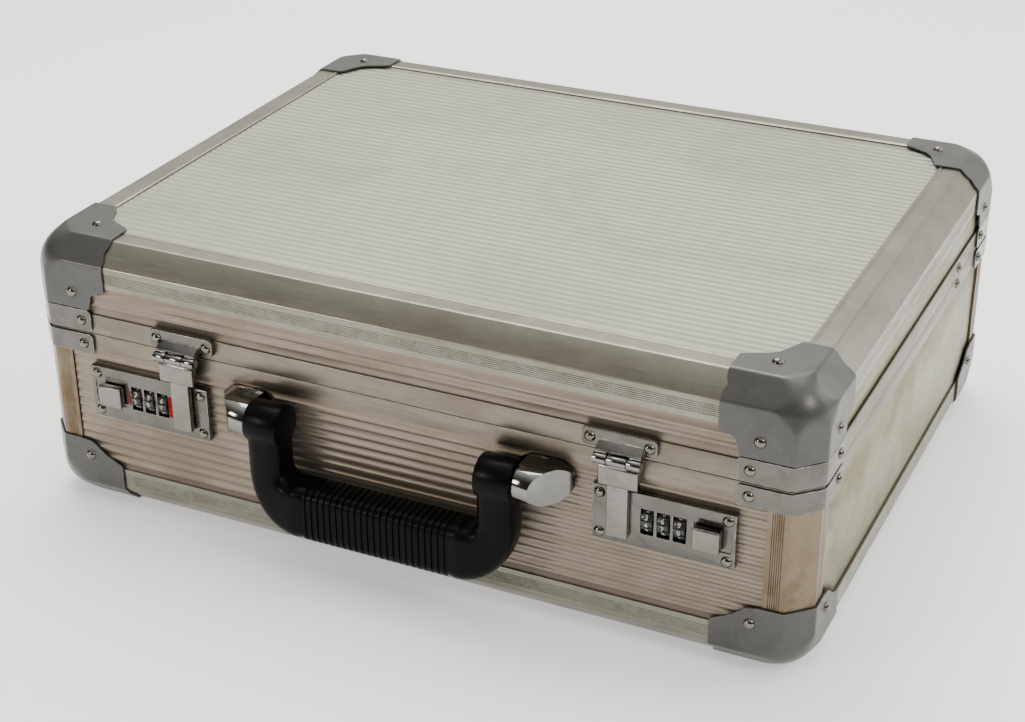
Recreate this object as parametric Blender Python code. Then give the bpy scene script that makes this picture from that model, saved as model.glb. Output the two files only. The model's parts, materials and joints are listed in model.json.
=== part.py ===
# Aluminium attache case: two shallow shells of board in an aluminium frame, hinged along
# the back, with two combination latches and a folding handle at the front.
#
# Metres. X runs along the front, Y from front to back, Z up. The origin lies under the
# middle of the object's box, on the surface that the case stands on.

import itertools
import math

import bmesh
import bpy
from mathutils import Matrix, Vector

# Case, measured between the outer faces of its aluminium frame
width = 0.457
depth = 0.3553
base_height = 0.1092
lid_height = 0.0533

# Fits
gap = 0.0003             # between any two pieces that touch
swing_gap = 0.0004       # between pieces that turn or slide past each other

# Frame: bent aluminium edges, corner posts and the two rims at the seam
skin = 0.0012            # wall of every extrusion
edge_chamfer = 0.0117
edge_flange = 0.0125     # beside the chamfer, on each face
post_chamfer = 0.0121
post_flange = 0.0116
frame_clear = 0.0018     # between the ends of edges and posts that meet at a corner
base_band = 0.0107       # visible height of the base's rim
lid_band = 0.0118
rim_lap = 0.0028         # board and lining reach this far up inside the rim
lip_height = 0.003       # tongue of the base rim inside the lid rim

# Boards and lining
board = 0.003
board_lap = 0.007        # how far a board reaches under a flange
lining = 0.0015
lining_stand = 0.0010     # between the linings' slopes and the bent edges

# Pressed corner pieces and the clips at the seam
sheet = 0.001
wing = 0.0505            # reach of a corner piece along an edge, from the outer plane
wing_depth = 0.0263      # its reach across the face
wing_notch = 0.0365      # where the slanted inner edges end
wing_chamfer = 0.0035    # between the two slanted edges
corner_round = 0.020      # radius of the corners' rounded tips
foot_corner = 0.0394     # height of the base's corner piece
base_shoulder = ((0.040, 0.0313), (0.0315, 0.0382), (0.024, foot_corner))
lid_shoulder = (0.0415, 0.0295)
lid_shoulder_end = 0.0395
clip_reach = 0.040
clip_start = 0.0009      # from the seam
lid_clip = 0.0132
base_clip = 0.0119
clip_rivet = 0.0335      # from the outer plane
corner_rivet = 0.0292    # on the walls, from both outer planes
cover_rivet = (0.031, 0.0255)    # on the cover, from the side and the end

# Rivets
rivet_radius = 0.003
rivet_rise = 0.0018
rivet_root = 0.0004      # how deep the head is let into its sheet
rivet_sides = 10

# Piano hinge at the back
hinge_margin = 0.0485    # from the case's sides
hinge_out = 0.0035       # axis behind the back plane
hinge_radius = 0.0026
hinge_pin = 0.001
hinge_leaf = 0.0092      # height of a leaf
hinge_knuckles = 15

# Latches, one on each side of the front
latch_margin = 0.0380    # from the case's side to the lock plate
plate_length = 0.0762
plate_height = 0.0314
plate_drop = 0.0184      # from the seam to the plate's upper edge
plate_front = 0.003      # ahead of the case's front plane
plate_rivet = 0.0041     # from the plate's edges
dial_first = 0.0297      # from the plate's inner end
dial_pitch = 0.00865
dial_count = 3
dial_width = 0.0061
dial_radius = 0.0068
dial_rise = 0.0018       # ahead of the plate
shaft_radius = 0.001
case_wall = 0.0012       # of the dial housing behind the plate
button_start = 0.0549
button_length = 0.0144
button_height = 0.0128
button_front = 0.008
button_travel = 0.0045
stem_length = 0.006
stem_height = 0.008
recess_depth = 0.0008

# Keeper on the lid and the hasp that hangs from it
keeper_start = -0.006    # from the lock plate's inner end
keeper_length = 0.040
keeper_low = 0.0029      # above the seam
keeper_high = 0.0132
keeper_rivet = 0.0041
keeper_slope = 0.0052    # where the slope from the barrel meets the plate, above the seam
barrel_start = 0.0023
barrel_length = 0.0256
barrel_middle = 0.0106   # the hasp's knuckle
barrel_out = 0.008
barrel_radius = 0.0029
tab_start = 0.0047
tab_length = 0.0215
tab_front = 0.0085
tab_back = 0.004
tab_low = 0.0155         # below the seam
strip_start = 0.0091
strip_length = 0.0125
strip_front = 0.0073
strip_low = 0.0446

# Handle and its brackets
pivot_out = 0.0138
handle_half = 0.078      # middle to the outer face of an arm
arm_width = 0.0205
arm_front = 0.0245       # ahead of the front plane
arm_back = 0.0036
boss_radius = 0.0119
grip_front = 0.0275
grip_back = 0.0048
grip_low = 0.0827        # below the seam
grip_high = 0.0505
grip_half = 0.0433       # half the straight, ribbed stretch
handle_bend = 0.020
grip_round = 0.0065      # corner radius of the handle's section
bracket_end = 0.1044
bracket_inner = 0.071
bracket_radius = 0.0102
bracket_plate = 0.0014   # front of the bracket's foot, ahead of the front plane
bracket_front = 0.0235
bracket_slant = 0.0865   # where the slanted end leaves the round front
pivot_pin = 0.003
pivot_depth = 0.010

# Lid stays: two links on each side, folded along the seam when the case is shut
stay_from_back = 0.0817
stay_base = 0.0045       # stud below the seam
stay_lid = 0.0055        # stud above the seam
stud_radius = 0.002
stud_head = 0.0032
head_thickness = 0.0003
link_length = 0.0670
link_half = 0.0045
link_sheet = 0.001
link_inset = 0.0069      # outer face of the first link, from the case's side

round_sides = 16

# Where the main planes lie
stand = gap + sheet                       # the corner pieces carry the case
bottom = stand
seam = bottom + base_height
top = seam + lid_height
reach_front = grip_front
reach_back = hinge_out + hinge_radius
middle = (reach_front - reach_back) / 2   # the case's own middle in Y
front = middle - depth / 2
back = middle + depth / 2
board_inset = skin + gap
lining_inset = board_inset + board + gap
lining_chamfer = edge_chamfer + (skin + lining_stand) * math.sqrt(2) - 2 * lining_inset
edge_reach = edge_chamfer + edge_flange
frame_stop = edge_reach + frame_clear     # edges and posts end here, from the outer planes
upper_inset = link_inset + link_sheet + head_thickness + 3 * gap    # of the second link


# ---- modelling helpers ----

def finish(name, colour, metallic, roughness):
    material = bpy.data.materials.new(name)
    material.use_nodes = True
    shader = material.node_tree.nodes["Principled BSDF"]
    shader.inputs["Base Color"].default_value = (*colour, 1.0)
    shader.inputs["Metallic"].default_value = metallic
    shader.inputs["Roughness"].default_value = roughness
    material.diffuse_color = (*colour, 1.0)
    return material


def node(name, shape, material, pivot=(0.0, 0.0, 0.0), smooth=False):
    """One named object. A moving piece has its origin on its joint's axis."""
    bmesh.ops.remove_doubles(shape, verts=shape.verts, dist=1e-7)
    bmesh.ops.translate(shape, vec=-Vector(pivot), verts=shape.verts)
    mesh = bpy.data.meshes.new(name)
    shape.to_mesh(mesh)
    shape.free()
    mesh.materials.append(material)
    if smooth:
        mesh.shade_smooth()
        mesh.set_sharp_from_angle(angle=math.radians(40))
    item = bpy.data.objects.new(name, mesh)
    item.location = pivot
    bpy.context.scene.collection.objects.link(item)
    return item


def block(x, y, z):
    """Box from three (low, high) pairs."""
    shape = bmesh.new()
    bmesh.ops.create_cube(shape, size=1.0)
    size = [abs(side[1] - side[0]) for side in (x, y, z)]
    centre = [(side[0] + side[1]) / 2 for side in (x, y, z)]
    bmesh.ops.scale(shape, vec=size, verts=shape.verts)
    bmesh.ops.translate(shape, vec=centre, verts=shape.verts)
    return shape


def prism(outline, sweep):
    """Closed outline of 3-D points, swept along a vector."""
    shape = bmesh.new()
    face = shape.faces.new([shape.verts.new(point) for point in outline])
    swept = bmesh.ops.extrude_face_region(shape, geom=[face])
    moved = [part for part in swept["geom"] if isinstance(part, bmesh.types.BMVert)]
    bmesh.ops.translate(shape, vec=sweep, verts=moved)
    return outward(shape)


def rod(start, end, radius, sides=round_sides):
    """Cylinder between two points."""
    axis = Vector(end) - Vector(start)
    turn = Vector((0, 0, 1)).rotation_difference(axis).to_matrix().to_4x4()
    place = Matrix.Translation((Vector(start) + Vector(end)) / 2) @ turn
    shape = bmesh.new()
    bmesh.ops.create_cone(shape, cap_ends=True, segments=sides, radius1=radius,
                          radius2=radius, depth=axis.length, matrix=place)
    return shape


def rivet(place, facing):
    """Domed rivet head, let a little way into its sheet."""
    shape = bmesh.new()
    bmesh.ops.create_uvsphere(shape, u_segments=rivet_sides, v_segments=6, radius=rivet_radius)
    bmesh.ops.scale(shape, vec=(1, 1, rivet_rise / rivet_radius), verts=shape.verts)
    cut = bmesh.ops.bisect_plane(shape, geom=shape.verts[:] + shape.edges[:] + shape.faces[:],
                                 plane_co=(0, 0, -rivet_root), plane_no=(0, 0, -1),
                                 clear_outer=True)
    rim = [part for part in cut["geom_cut"] if isinstance(part, bmesh.types.BMEdge)]
    bmesh.ops.contextual_create(shape, geom=rim)
    turn = Vector((0, 0, 1)).rotation_difference(Vector(facing)).to_matrix().to_4x4()
    bmesh.ops.transform(shape, matrix=Matrix.Translation(place) @ turn, verts=shape.verts)
    return outward(shape)


def outward(shape):
    """Faces of a closed shape turned to point out of it."""
    bmesh.ops.recalc_face_normals(shape, faces=shape.faces)
    if shape.calc_volume(signed=True) < 0:
        bmesh.ops.reverse_faces(shape, faces=shape.faces)
    return shape


def helper_object(shape):
    mesh = bpy.data.meshes.new("helper")
    shape.to_mesh(mesh)
    shape.free()
    item = bpy.data.objects.new("helper", mesh)
    bpy.context.scene.collection.objects.link(item)
    return item


def boolean(shape, others, operation):
    """The shape joined with, cut by or limited to each of the others in turn."""
    body = helper_object(shape)
    tools = [helper_object(other) for other in others]
    for tool in tools:
        step = body.modifiers.new("step", "BOOLEAN")
        step.operation = operation
        step.solver = "EXACT"
        step.object = tool
    evaluated = body.evaluated_get(bpy.context.evaluated_depsgraph_get())
    result = bmesh.new()
    result.from_mesh(evaluated.to_mesh())
    evaluated.to_mesh_clear()
    for item in [body] + tools:
        mesh = item.data
        bpy.data.objects.remove(item, do_unlink=True)
        bpy.data.meshes.remove(mesh)
    return result


def join(shape, *others):
    return boolean(shape, others, "UNION")


def cut(shape, *others):
    return boolean(shape, others, "DIFFERENCE")


def limit(shape, *others):
    return boolean(shape, others, "INTERSECT")


def mapped(shape, matrix):
    bmesh.ops.transform(shape, matrix=matrix, verts=shape.verts)
    if matrix.determinant() < 0:
        bmesh.ops.reverse_faces(shape, faces=shape.faces)
    return shape


def cornered(shape, side, end, level):
    """From corner measures to the case: u, v and w run inwards from the outer side, end
    and top (or bottom) planes. side is -1 left, 1 right; end is -1 front, 1 back."""
    place = Vector((side * width / 2, middle + end * depth / 2, top if level > 0 else bottom))
    turn = Matrix.Diagonal((-side, -end, -level, 1.0))
    return mapped(shape, Matrix.Translation(place) @ turn)


def mirrored(shape, side):
    """A piece of the right-hand side, for the side asked for."""
    return mapped(shape, Matrix.Diagonal((side, 1.0, 1.0, 1.0)))


def plan(inset, z):
    """Cut-cornered rectangle of the case, at a depth behind its outer planes."""
    half_x = width / 2 - inset
    half_y = depth / 2 - inset
    corner = post_chamfer - inset * (2 - math.sqrt(2))
    quarter = [(half_x, half_y - corner), (half_x - corner, half_y)]
    points = quarter + [(-x, y) for x, y in reversed(quarter)]
    points += [(-x, -y) for x, y in points]
    return [(x, middle + y, z) for x, y in points]


def skinned(loops, capped):
    """Closed surface over loops of points: round to the first loop again, or capped."""
    shape = bmesh.new()
    rows = [[shape.verts.new(point) for point in loop] for loop in loops]
    following = rows[1:] if capped else rows[1:] + rows[:1]
    for row, next_row in zip(rows, following):
        for index in range(len(row)):
            shape.faces.new((row[index - 1], row[index], next_row[index], next_row[index - 1]))
    if capped:
        shape.faces.new(rows[0])
        shape.faces.new(rows[-1])
    return outward(shape)


def belt(section, capped=False):
    """Section of (inset, z) points taken round the case. A capped one closes over the
    first and last point, as a tray does."""
    return skinned([plan(inset, z) for inset, z in section], capped)


def ahead(amount):
    """Y of a point ahead of the front plane."""
    return front - amount


# ---- frame and boards ----

def edge_section():
    """Outline of an edge: two flanges and the chamfer between them, of even thickness."""
    bend = edge_chamfer + skin * (math.sqrt(2) - 1)
    outer = [(0, edge_reach), (0, edge_chamfer), (edge_chamfer, 0), (edge_reach, 0)]
    inner = [(edge_reach, skin), (bend, skin), (skin, bend), (skin, edge_reach)]
    return outer + inner


def make_edges(material, prefix, level):
    for name, end in (("front", -1), ("back", 1)):
        outline = [(frame_stop, a, b) for a, b in edge_section()]
        shape = prism(outline, (width - 2 * frame_stop, 0, 0))
        node(f"{prefix}_edge_{name}", cornered(shape, 1, end, level), material)
    for name, side in (("left", -1), ("right", 1)):
        outline = [(a, frame_stop, b) for a, b in edge_section()]
        shape = prism(outline, (0, depth - 2 * frame_stop, 0))
        node(f"{prefix}_edge_{name}", cornered(shape, side, 1, level), material)


def corner_plan(reach, chamfer, outside, inside):
    """Plan of a strip bent round a vertical corner, between two offsets from the planes."""
    def path(offset):
        turn = chamfer - offset * (math.sqrt(2) - 1)
        return [(reach, -offset), (turn, -offset), (-offset, turn), (-offset, reach)]
    return path(outside) + path(inside)[::-1]


corners = [("front_left", -1, -1), ("front_right", 1, -1),
           ("back_left", -1, 1), ("back_right", 1, 1)]


def make_posts(material):
    high = base_height - base_band - gap
    for name, side, end in corners:
        outline = corner_plan(post_chamfer + post_flange, post_chamfer, 0, -skin)
        shape = prism([(u, v, frame_stop) for u, v in outline], (0, 0, high - frame_stop))
        node(f"base_post_{name}", cornered(shape, side, end, -1), material)


def make_rims(material):
    board_top = seam - base_band + rim_lap
    board_low = seam + lid_band - rim_lap
    lining_face = lining_inset + lining
    lip = board_inset + skin
    base = belt([(0, seam - base_band), (0, seam - gap / 2), (board_inset, seam - gap / 2),
                 (board_inset, seam + lip_height), (lip, seam + lip_height),
                 (lip, board_top + skin), (lining_face, board_top + skin),
                 (lining_face, board_top), (skin, board_top), (skin, seam - base_band)])
    lid = belt([(0, seam + gap / 2), (0, seam + lid_band), (skin, seam + lid_band),
                (skin, board_low), (lining_face, board_low),
                (lining_face, board_low - skin), (skin, board_low - skin),
                (skin, seam + gap / 2)])
    for side in (-1, 1):
        base = join(base, *stay_stud(side, -stay_base, link_inset + link_sheet + gap))
        lid = join(lid, *stay_stud(side, stay_lid, upper_inset + link_sheet + gap))
    node("base_rim", base, material)
    node("lid_rim", lid, material)


def stay_stud(side, rise, reach):
    """Stud of a stay: a rivet head outside the rim and a flat head inside the link."""
    y = back - stay_from_back
    z = seam + rise
    wall = side * width / 2
    shaft = rod((wall - side * skin / 2, y, z), (wall - side * (reach + gap), y, z), stud_radius)
    head = rod((wall - side * reach, y, z), (wall - side * (reach + head_thickness), y, z),
               stud_head)
    return shaft, head, rivet((wall, y, z), (side, 0, 0))


def make_boards(material):
    inner = board_inset + board
    rise = edge_reach - board_lap
    inset = edge_reach - board_lap
    low, high = bottom + rise, seam - base_band + rim_lap - gap
    walls = belt([(board_inset, low), (board_inset, high), (inner, high), (inner, low)])
    walls = cut(walls, *[lock_opening(side, gap) for side in (-1, 1)])
    node("base_walls", walls, material)
    low, high = seam + lid_band - rim_lap + gap, top - rise
    walls = belt([(board_inset, low), (board_inset, high), (inner, high), (inner, low)])
    node("lid_walls", walls, material)
    across = (-width / 2 + inset, width / 2 - inset)
    along = (front + inset, back - inset)
    floor = block(across, along, (bottom + board_inset, bottom + inner))
    node("base_floor", floor, material)
    cover = block(across, along, (top - inner, top - board_inset))
    node("lid_top", cover, material)


def make_linings(material):
    slope = lining_inset + lining_chamfer
    face = lining_inset + lining
    face_slope = slope + lining * (math.sqrt(2) - 1)
    rim = seam - base_band + rim_lap - gap
    tray = belt([(face_slope, bottom + face), (face, bottom + face_slope), (face, rim),
                 (lining_inset, rim), (lining_inset, bottom + slope),
                 (slope, bottom + lining_inset)], capped=True)
    tray = cut(tray, *[lock_opening(side, gap) for side in (-1, 1)])
    node("base_lining", tray, material)
    rim = seam + lid_band - rim_lap + gap
    tray = belt([(face_slope, top - face), (face, top - face_slope), (face, rim),
                 (lining_inset, rim), (lining_inset, top - slope),
                 (slope, top - lining_inset)], capped=True)
    node("lid_lining", tray, material)


# ---- corner pieces and clips ----

def corner_body(offset, size):
    """Chamfered corner of the case with its tip rounded, grown outwards by an offset."""
    start = -offset - corner_round
    shape = block((start, size), (start, size), (start, size))
    for normal, chamfer in (((0, -1, -1), edge_chamfer), ((-1, 0, -1), edge_chamfer),
                            ((-1, -1, 0), post_chamfer)):
        shape = sliced(shape, Vector(normal).normalized(), offset - chamfer / math.sqrt(2))
    facets = {turned for steps in ((1, 1, 1), (2, 2, 1), (2, 1, 1), (3, 2, 1), (4, 1, 1))
              for turned in itertools.permutations(steps)}
    for facet in sorted(facets):
        normal = -Vector(facet).normalized()
        shape = sliced(shape, normal, offset + corner_round * (1 + sum(normal)))
    for normal in ((-1, 0, 0), (0, -1, 0), (0, 0, -1)):
        shape = sliced(shape, Vector(normal), offset)
    return shape


def sliced(shape, normal, distance):
    """What lies behind a plane, with the cut closed."""
    parts = shape.verts[:] + shape.edges[:] + shape.faces[:]
    result = bmesh.ops.bisect_plane(shape, geom=parts, plane_co=normal * distance,
                                    plane_no=normal, clear_outer=True)
    rim = [part for part in result["geom_cut"] if isinstance(part, bmesh.types.BMEdge)]
    bmesh.ops.contextual_create(shape, geom=rim)
    return outward(shape)


def corner_shell(drop, shoulder):
    """Pressed corner piece. drop is its height on the walls; shoulder is the outline's
    points between the wing and the full drop."""
    out = gap + sheet
    far = wing + foot_corner
    start = -2 * out
    notch = wing_notch - wing_chamfer
    flat = [(start, start), (wing, start), (wing, wing_depth), (wing_notch, notch),
            (notch, wing_notch), (wing_depth, wing), (start, wing)]
    wall = [(start, start), (wing, start), (wing, wing_depth)] + shoulder + [(start, drop)]
    shape = cut(corner_body(out, 2 * wing), corner_body(gap, 3 * wing))
    return limit(shape,
                 prism([(u, v, start) for u, v in flat], (0, 0, far)),
                 prism([(u, start, w) for u, w in wall], (0, far, 0)),
                 prism([(start, v, w) for v, w in wall], (far, 0, 0)))


def make_corners(material):
    out = -(gap + sheet)
    lid_drop = lid_height - clip_start - lid_clip - 2 * gap
    along, drop = lid_shoulder
    steps = [("lid", 1, lid_drop, [(along, min(drop, lid_drop)), (lid_shoulder_end, lid_drop)]),
             ("base", -1, foot_corner, list(base_shoulder))]
    for prefix, level, height, shoulder in steps:
        heads = [((corner_rivet, out, corner_rivet), (0, -1, 0)),
                 ((out, corner_rivet, corner_rivet), (-1, 0, 0))]
        if level > 0:
            heads.append(((*cover_rivet, out), (0, 0, -1)))
        for name, side, end in corners:
            shape = corner_shell(height, shoulder)
            shape = join(shape, *[rivet(place, facing) for place, facing in heads])
            node(f"{prefix}_corner_{name}", cornered(shape, side, end, level), material)


def make_clips(material):
    out = gap + sheet
    for prefix, level, shell, size in (("lid", 1, lid_height, lid_clip),
                                       ("base", -1, base_height, base_clip)):
        high = shell - clip_start
        centre = high - size / 2
        for name, side, end in corners:
            outline = corner_plan(clip_reach, post_chamfer, out, gap)
            shape = prism([(u, v, high - size) for u, v in outline], (0, 0, size))
            shape = join(shape, rivet((clip_rivet, -out, centre), (0, -1, 0)),
                         rivet((-out, clip_rivet, centre), (-1, 0, 0)))
            node(f"{prefix}_clip_{name}", cornered(shape, side, end, level), material)


# ---- hinge ----

def make_hinge(material):
    half = width / 2 - hinge_margin
    y = back + hinge_out
    pitch = 2 * half / hinge_knuckles
    face, rear = back + gap, back + gap + sheet
    clear = hinge_radius + swing_gap
    axis = (0, y, seam)
    leaves = {}
    for name, level in (("base", -1), ("lid", 1)):
        near, far = seam + level * clear, seam + level * hinge_leaf
        leaf = block((-half, half), (face, rear), (min(near, far), max(near, far)))
        parts = []
        for index in range(0 if level < 0 else 1, hinge_knuckles, 2):
            start = -half + index * pitch + gap / 2
            end = start + pitch - gap
            parts.append(rod((start, y, seam), (end, y, seam), hinge_radius))
            tab = seam + level * (clear + sheet)
            parts.append(block((start + gap, end - gap), (rear - sheet / 2, y - hinge_radius / 2),
                               (min(seam, tab), max(seam, tab))))
        leaves[name] = join(leaf, *parts)
    ends = (-half + gap, y, seam), (half - gap, y, seam)
    past = (-half - sheet, y, seam), (half + sheet, y, seam)
    leaves["base"] = cut(leaves["base"], rod(*past, hinge_pin + gap, 10))
    leaves["lid"] = join(leaves["lid"], rod(*ends, hinge_pin, 10))
    node("hinge_leaf_base", leaves["base"], material)
    node("hinge_leaf_lid", leaves["lid"], material, pivot=axis)


# ---- latches ----

plate_inner = width / 2 - latch_margin - plate_length
plate_high = seam - plate_drop
plate_low = plate_high - plate_height
plate_middle = (plate_high + plate_low) / 2
dial_centre = plate_front + dial_rise - dial_radius    # ahead of the front plane
slot_half = dial_width / 2 + swing_gap
slot_back = dial_centre - dial_radius - swing_gap
dial_places = [plate_inner + dial_first + index * dial_pitch for index in range(dial_count)]


def along_plate(start, length):
    return plate_inner + start, plate_inner + start + length


def lock_opening(side, margin):
    """Space in the front board and the lining for the dial housing."""
    x = (dial_places[0] - slot_half - case_wall - margin,
         dial_places[-1] + slot_half + case_wall + margin)
    rise = dial_radius + swing_gap + case_wall + margin
    shape = block(x, (ahead(0), ahead(slot_back) + case_wall + sheet),
                  (plate_middle - rise, plate_middle + rise))
    return mirrored(shape, side)


def make_lock_plate(material, name, side):
    x = along_plate(0, plate_length)
    shape = block(x, (ahead(plate_front), ahead(-board_inset + gap)), (plate_low, plate_high))
    rise = dial_radius + swing_gap
    housing = block((dial_places[0] - slot_half - case_wall, dial_places[-1] + slot_half + case_wall),
                    (ahead(plate_front / 2), ahead(slot_back) + case_wall),
                    (plate_middle - rise - case_wall, plate_middle + rise + case_wall))
    slots = [block((place - slot_half, place + slot_half),
                   (ahead(2 * plate_front), ahead(slot_back)),
                   (plate_middle - rise, plate_middle + rise)) for place in dial_places]
    stem = along_plate(button_start + swing_gap, stem_length + button_travel + 2 * swing_gap)
    stem_half = stem_height / 2 + swing_gap
    recess = along_plate(button_start - swing_gap, button_length + button_travel + 2 * swing_gap)
    recess_half = button_height / 2 + swing_gap
    shape = cut(join(shape, housing), *slots,
                block(recess, (ahead(2 * plate_front), ahead(plate_front - recess_depth)),
                      (plate_middle - recess_half, plate_middle + recess_half)),
                block(stem, (ahead(2 * plate_front), ahead(-2 * plate_front)),
                      (plate_middle - stem_half, plate_middle + stem_half)))
    shaft = rod((dial_places[0] - slot_half - case_wall / 2, ahead(dial_centre), plate_middle),
                (dial_places[-1] + slot_half + case_wall / 2, ahead(dial_centre), plate_middle),
                shaft_radius, 10)
    heads = [rivet((x[end] + (plate_rivet if end == 0 else -plate_rivet), ahead(plate_front), z),
                   (0, -1, 0))
             for end in (0, 1) for z in (plate_low + plate_rivet, plate_high - plate_rivet)]
    node(f"lock_plate_{name}", mirrored(join(shape, shaft, *heads), side), material)


def make_dials(material, name, side):
    for index, place in enumerate(dial_places):
        y, z = ahead(dial_centre), plate_middle
        wheel = rod((place - dial_width / 2, y, z), (place + dial_width / 2, y, z),
                    dial_radius, 20)
        bore = rod((place - dial_width, y, z), (place + dial_width, y, z),
                   shaft_radius + gap, 10)
        node(f"dial_{name}_{index + 1}", mirrored(cut(wheel, bore), side), material,
             pivot=(side * place, y, z))


def make_button(material, name, side):
    x = along_plate(button_start, button_length)
    half = button_height / 2
    cap = block(x, (ahead(button_front), ahead(plate_front - recess_depth + swing_gap)),
                (plate_middle - half, plate_middle + half))
    rounded = [edge for edge in cap.edges
               if all(abs(vert.co.y - ahead(button_front)) < 1e-6 for vert in edge.verts)]
    bmesh.ops.bevel(cap, geom=rounded, offset=0.001, segments=1, affect="EDGES", profile=0.5,
                    material=-1)
    stem = block(along_plate(button_start + 2 * swing_gap, stem_length),
                 (ahead(button_front / 2), ahead(-board_inset + 2 * gap)),
                 (plate_middle - stem_height / 2, plate_middle + stem_height / 2))
    node(f"latch_button_{name}", mirrored(join(cap, stem), side), material)


def make_keeper(material, name, side):
    x = along_plate(keeper_start, keeper_length)
    barrel = along_plate(barrel_start, barrel_length)
    knuckle = (barrel_length - barrel_middle) / 2 - swing_gap / 2
    clear = barrel_radius + swing_gap
    shape = block(x, (ahead(plate_front), ahead(gap)), (seam + keeper_low, seam + keeper_high))
    slope = [(plate_front / 2, clear), (barrel_out, clear), (barrel_out, clear + sheet),
             (plate_front - sheet / 2, keeper_slope)]
    parts = [prism([(barrel[0] + gap, ahead(a), seam + b) for a, b in slope],
                   (barrel_length - 2 * gap, 0, 0))]
    for start, end in ((barrel[0], barrel[0] + knuckle), (barrel[1] - knuckle, barrel[1])):
        parts.append(rod((start, ahead(barrel_out), seam), (end, ahead(barrel_out), seam),
                         barrel_radius))
        parts.append(block((start + 2 * gap, end - 2 * gap),
                           (ahead(barrel_out - gap), ahead(barrel_out - barrel_radius)),
                           (seam, seam + clear + sheet / 2)))
    parts.append(rod((barrel[0] + gap, ahead(barrel_out), seam),
                     (barrel[1] - gap, ahead(barrel_out), seam), shaft_radius, 10))
    level = seam + (keeper_low + keeper_high) / 2
    parts += [rivet((place, ahead(plate_front), level), (0, -1, 0))
              for place in (x[0] + keeper_rivet, x[1] - keeper_rivet)]
    node(f"latch_keeper_{name}", mirrored(join(shape, *parts), side), material,
         pivot=(0, back + hinge_out, seam))


def make_hasp(material, name, side):
    barrel = along_plate(barrel_start, barrel_length)
    middle_x = (barrel[0] + barrel[1]) / 2
    half = barrel_middle / 2 - swing_gap / 2
    y = ahead(barrel_out)
    clear = barrel_radius + swing_gap
    knuckle = rod((middle_x - half, y, seam), (middle_x + half, y, seam), barrel_radius)
    neck = block((middle_x - half, middle_x + half), (ahead(tab_front), ahead(tab_front - 2 * sheet)),
                 (seam - clear - sheet, seam))
    tab = block(along_plate(tab_start, tab_length), (ahead(tab_front), ahead(tab_back)),
                (seam - tab_low, seam - clear))
    strip = block(along_plate(strip_start, strip_length),
                  (ahead(strip_front), ahead(plate_front + swing_gap)),
                  (seam - strip_low, seam - tab_low + sheet))
    bore = rod((barrel[0], y, seam), (barrel[1], y, seam), shaft_radius + gap, 10)
    shape = cut(join(knuckle, neck, tab, strip), bore)
    node(f"latch_hasp_{name}", mirrored(shape, side), material,
         pivot=(side * middle_x, y, seam))


# ---- handle ----

pivot_z = seam - base_band - gap - bracket_radius
pivot_y = ahead(pivot_out)


def rounded_outline(half_a, half_b, corner, count):
    """Points of a rounded rectangle about the origin."""
    points = []
    for index, (sign_a, sign_b) in enumerate(((1, 1), (-1, 1), (-1, -1), (1, -1))):
        for step in range(count + 1):
            angle = math.pi / 2 * (index + step / count)
            points.append((sign_a * (half_a - corner) + corner * math.cos(angle),
                           sign_b * (half_b - corner) + corner * math.sin(angle)))
    return points


def handle_path():
    """Stations from the left pivot to the right one: place, direction, size and depth."""
    arm_x = handle_half - arm_width / 2
    grip_size = grip_low - grip_high
    grip_z = seam - (grip_low + grip_high) / 2
    turn_x = arm_x - handle_bend
    turn_z = grip_z + handle_bend
    side = [((arm_x, pivot_z), 0.0, arm_width, 0.0)]
    steps = 4
    for step in range(steps + 1):
        share = step / steps
        angle = math.pi / 2 * share
        place = (turn_x + handle_bend * math.cos(angle), turn_z - handle_bend * math.sin(angle))
        side.append((place, angle, arm_width + (grip_size - arm_width) * share, share))
    side.append(((grip_half, grip_z), math.pi / 2, grip_size, 1.0))
    return side


def make_handle(material):
    arm_depth, grip_depth = arm_front - arm_back, grip_front - grip_back
    loops = []
    stations = [(place, angle, size, share, 1) for place, angle, size, share in handle_path()]
    stations += [(place, angle, size, share, -1) for place, angle, size, share, _ in
                 reversed(stations)]
    for (x, z), angle, size, share, side in stations:
        deep = arm_depth + (grip_depth - arm_depth) * share
        centre = ahead((arm_front + arm_back) / 2 * (1 - share)
                       + (grip_front + grip_back) / 2 * share)
        across = Vector((math.cos(angle), 0, -math.sin(angle)))
        points = [Vector((x, centre + b, z)) + across * a
                  for a, b in rounded_outline(size / 2, deep / 2, grip_round, 3)]
        loops.append([(side * point.x, point.y, point.z) for point in points])
    shape = skinned(loops, capped=True)
    bosses = []
    bores = []
    for side in (-1, 1):
        outer = side * handle_half
        inner = side * (handle_half - arm_width)
        bosses.append(rod((inner, pivot_y, pivot_z), (outer, pivot_y, pivot_z), boss_radius, 24))
        bores.append(rod((outer + side * sheet, pivot_y, pivot_z),
                         (outer - side * pivot_depth, pivot_y, pivot_z),
                         pivot_pin + swing_gap))
    node("handle", cut(join(shape, *bosses), *bores), material, pivot=(0, pivot_y, pivot_z),
         smooth=True)


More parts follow.
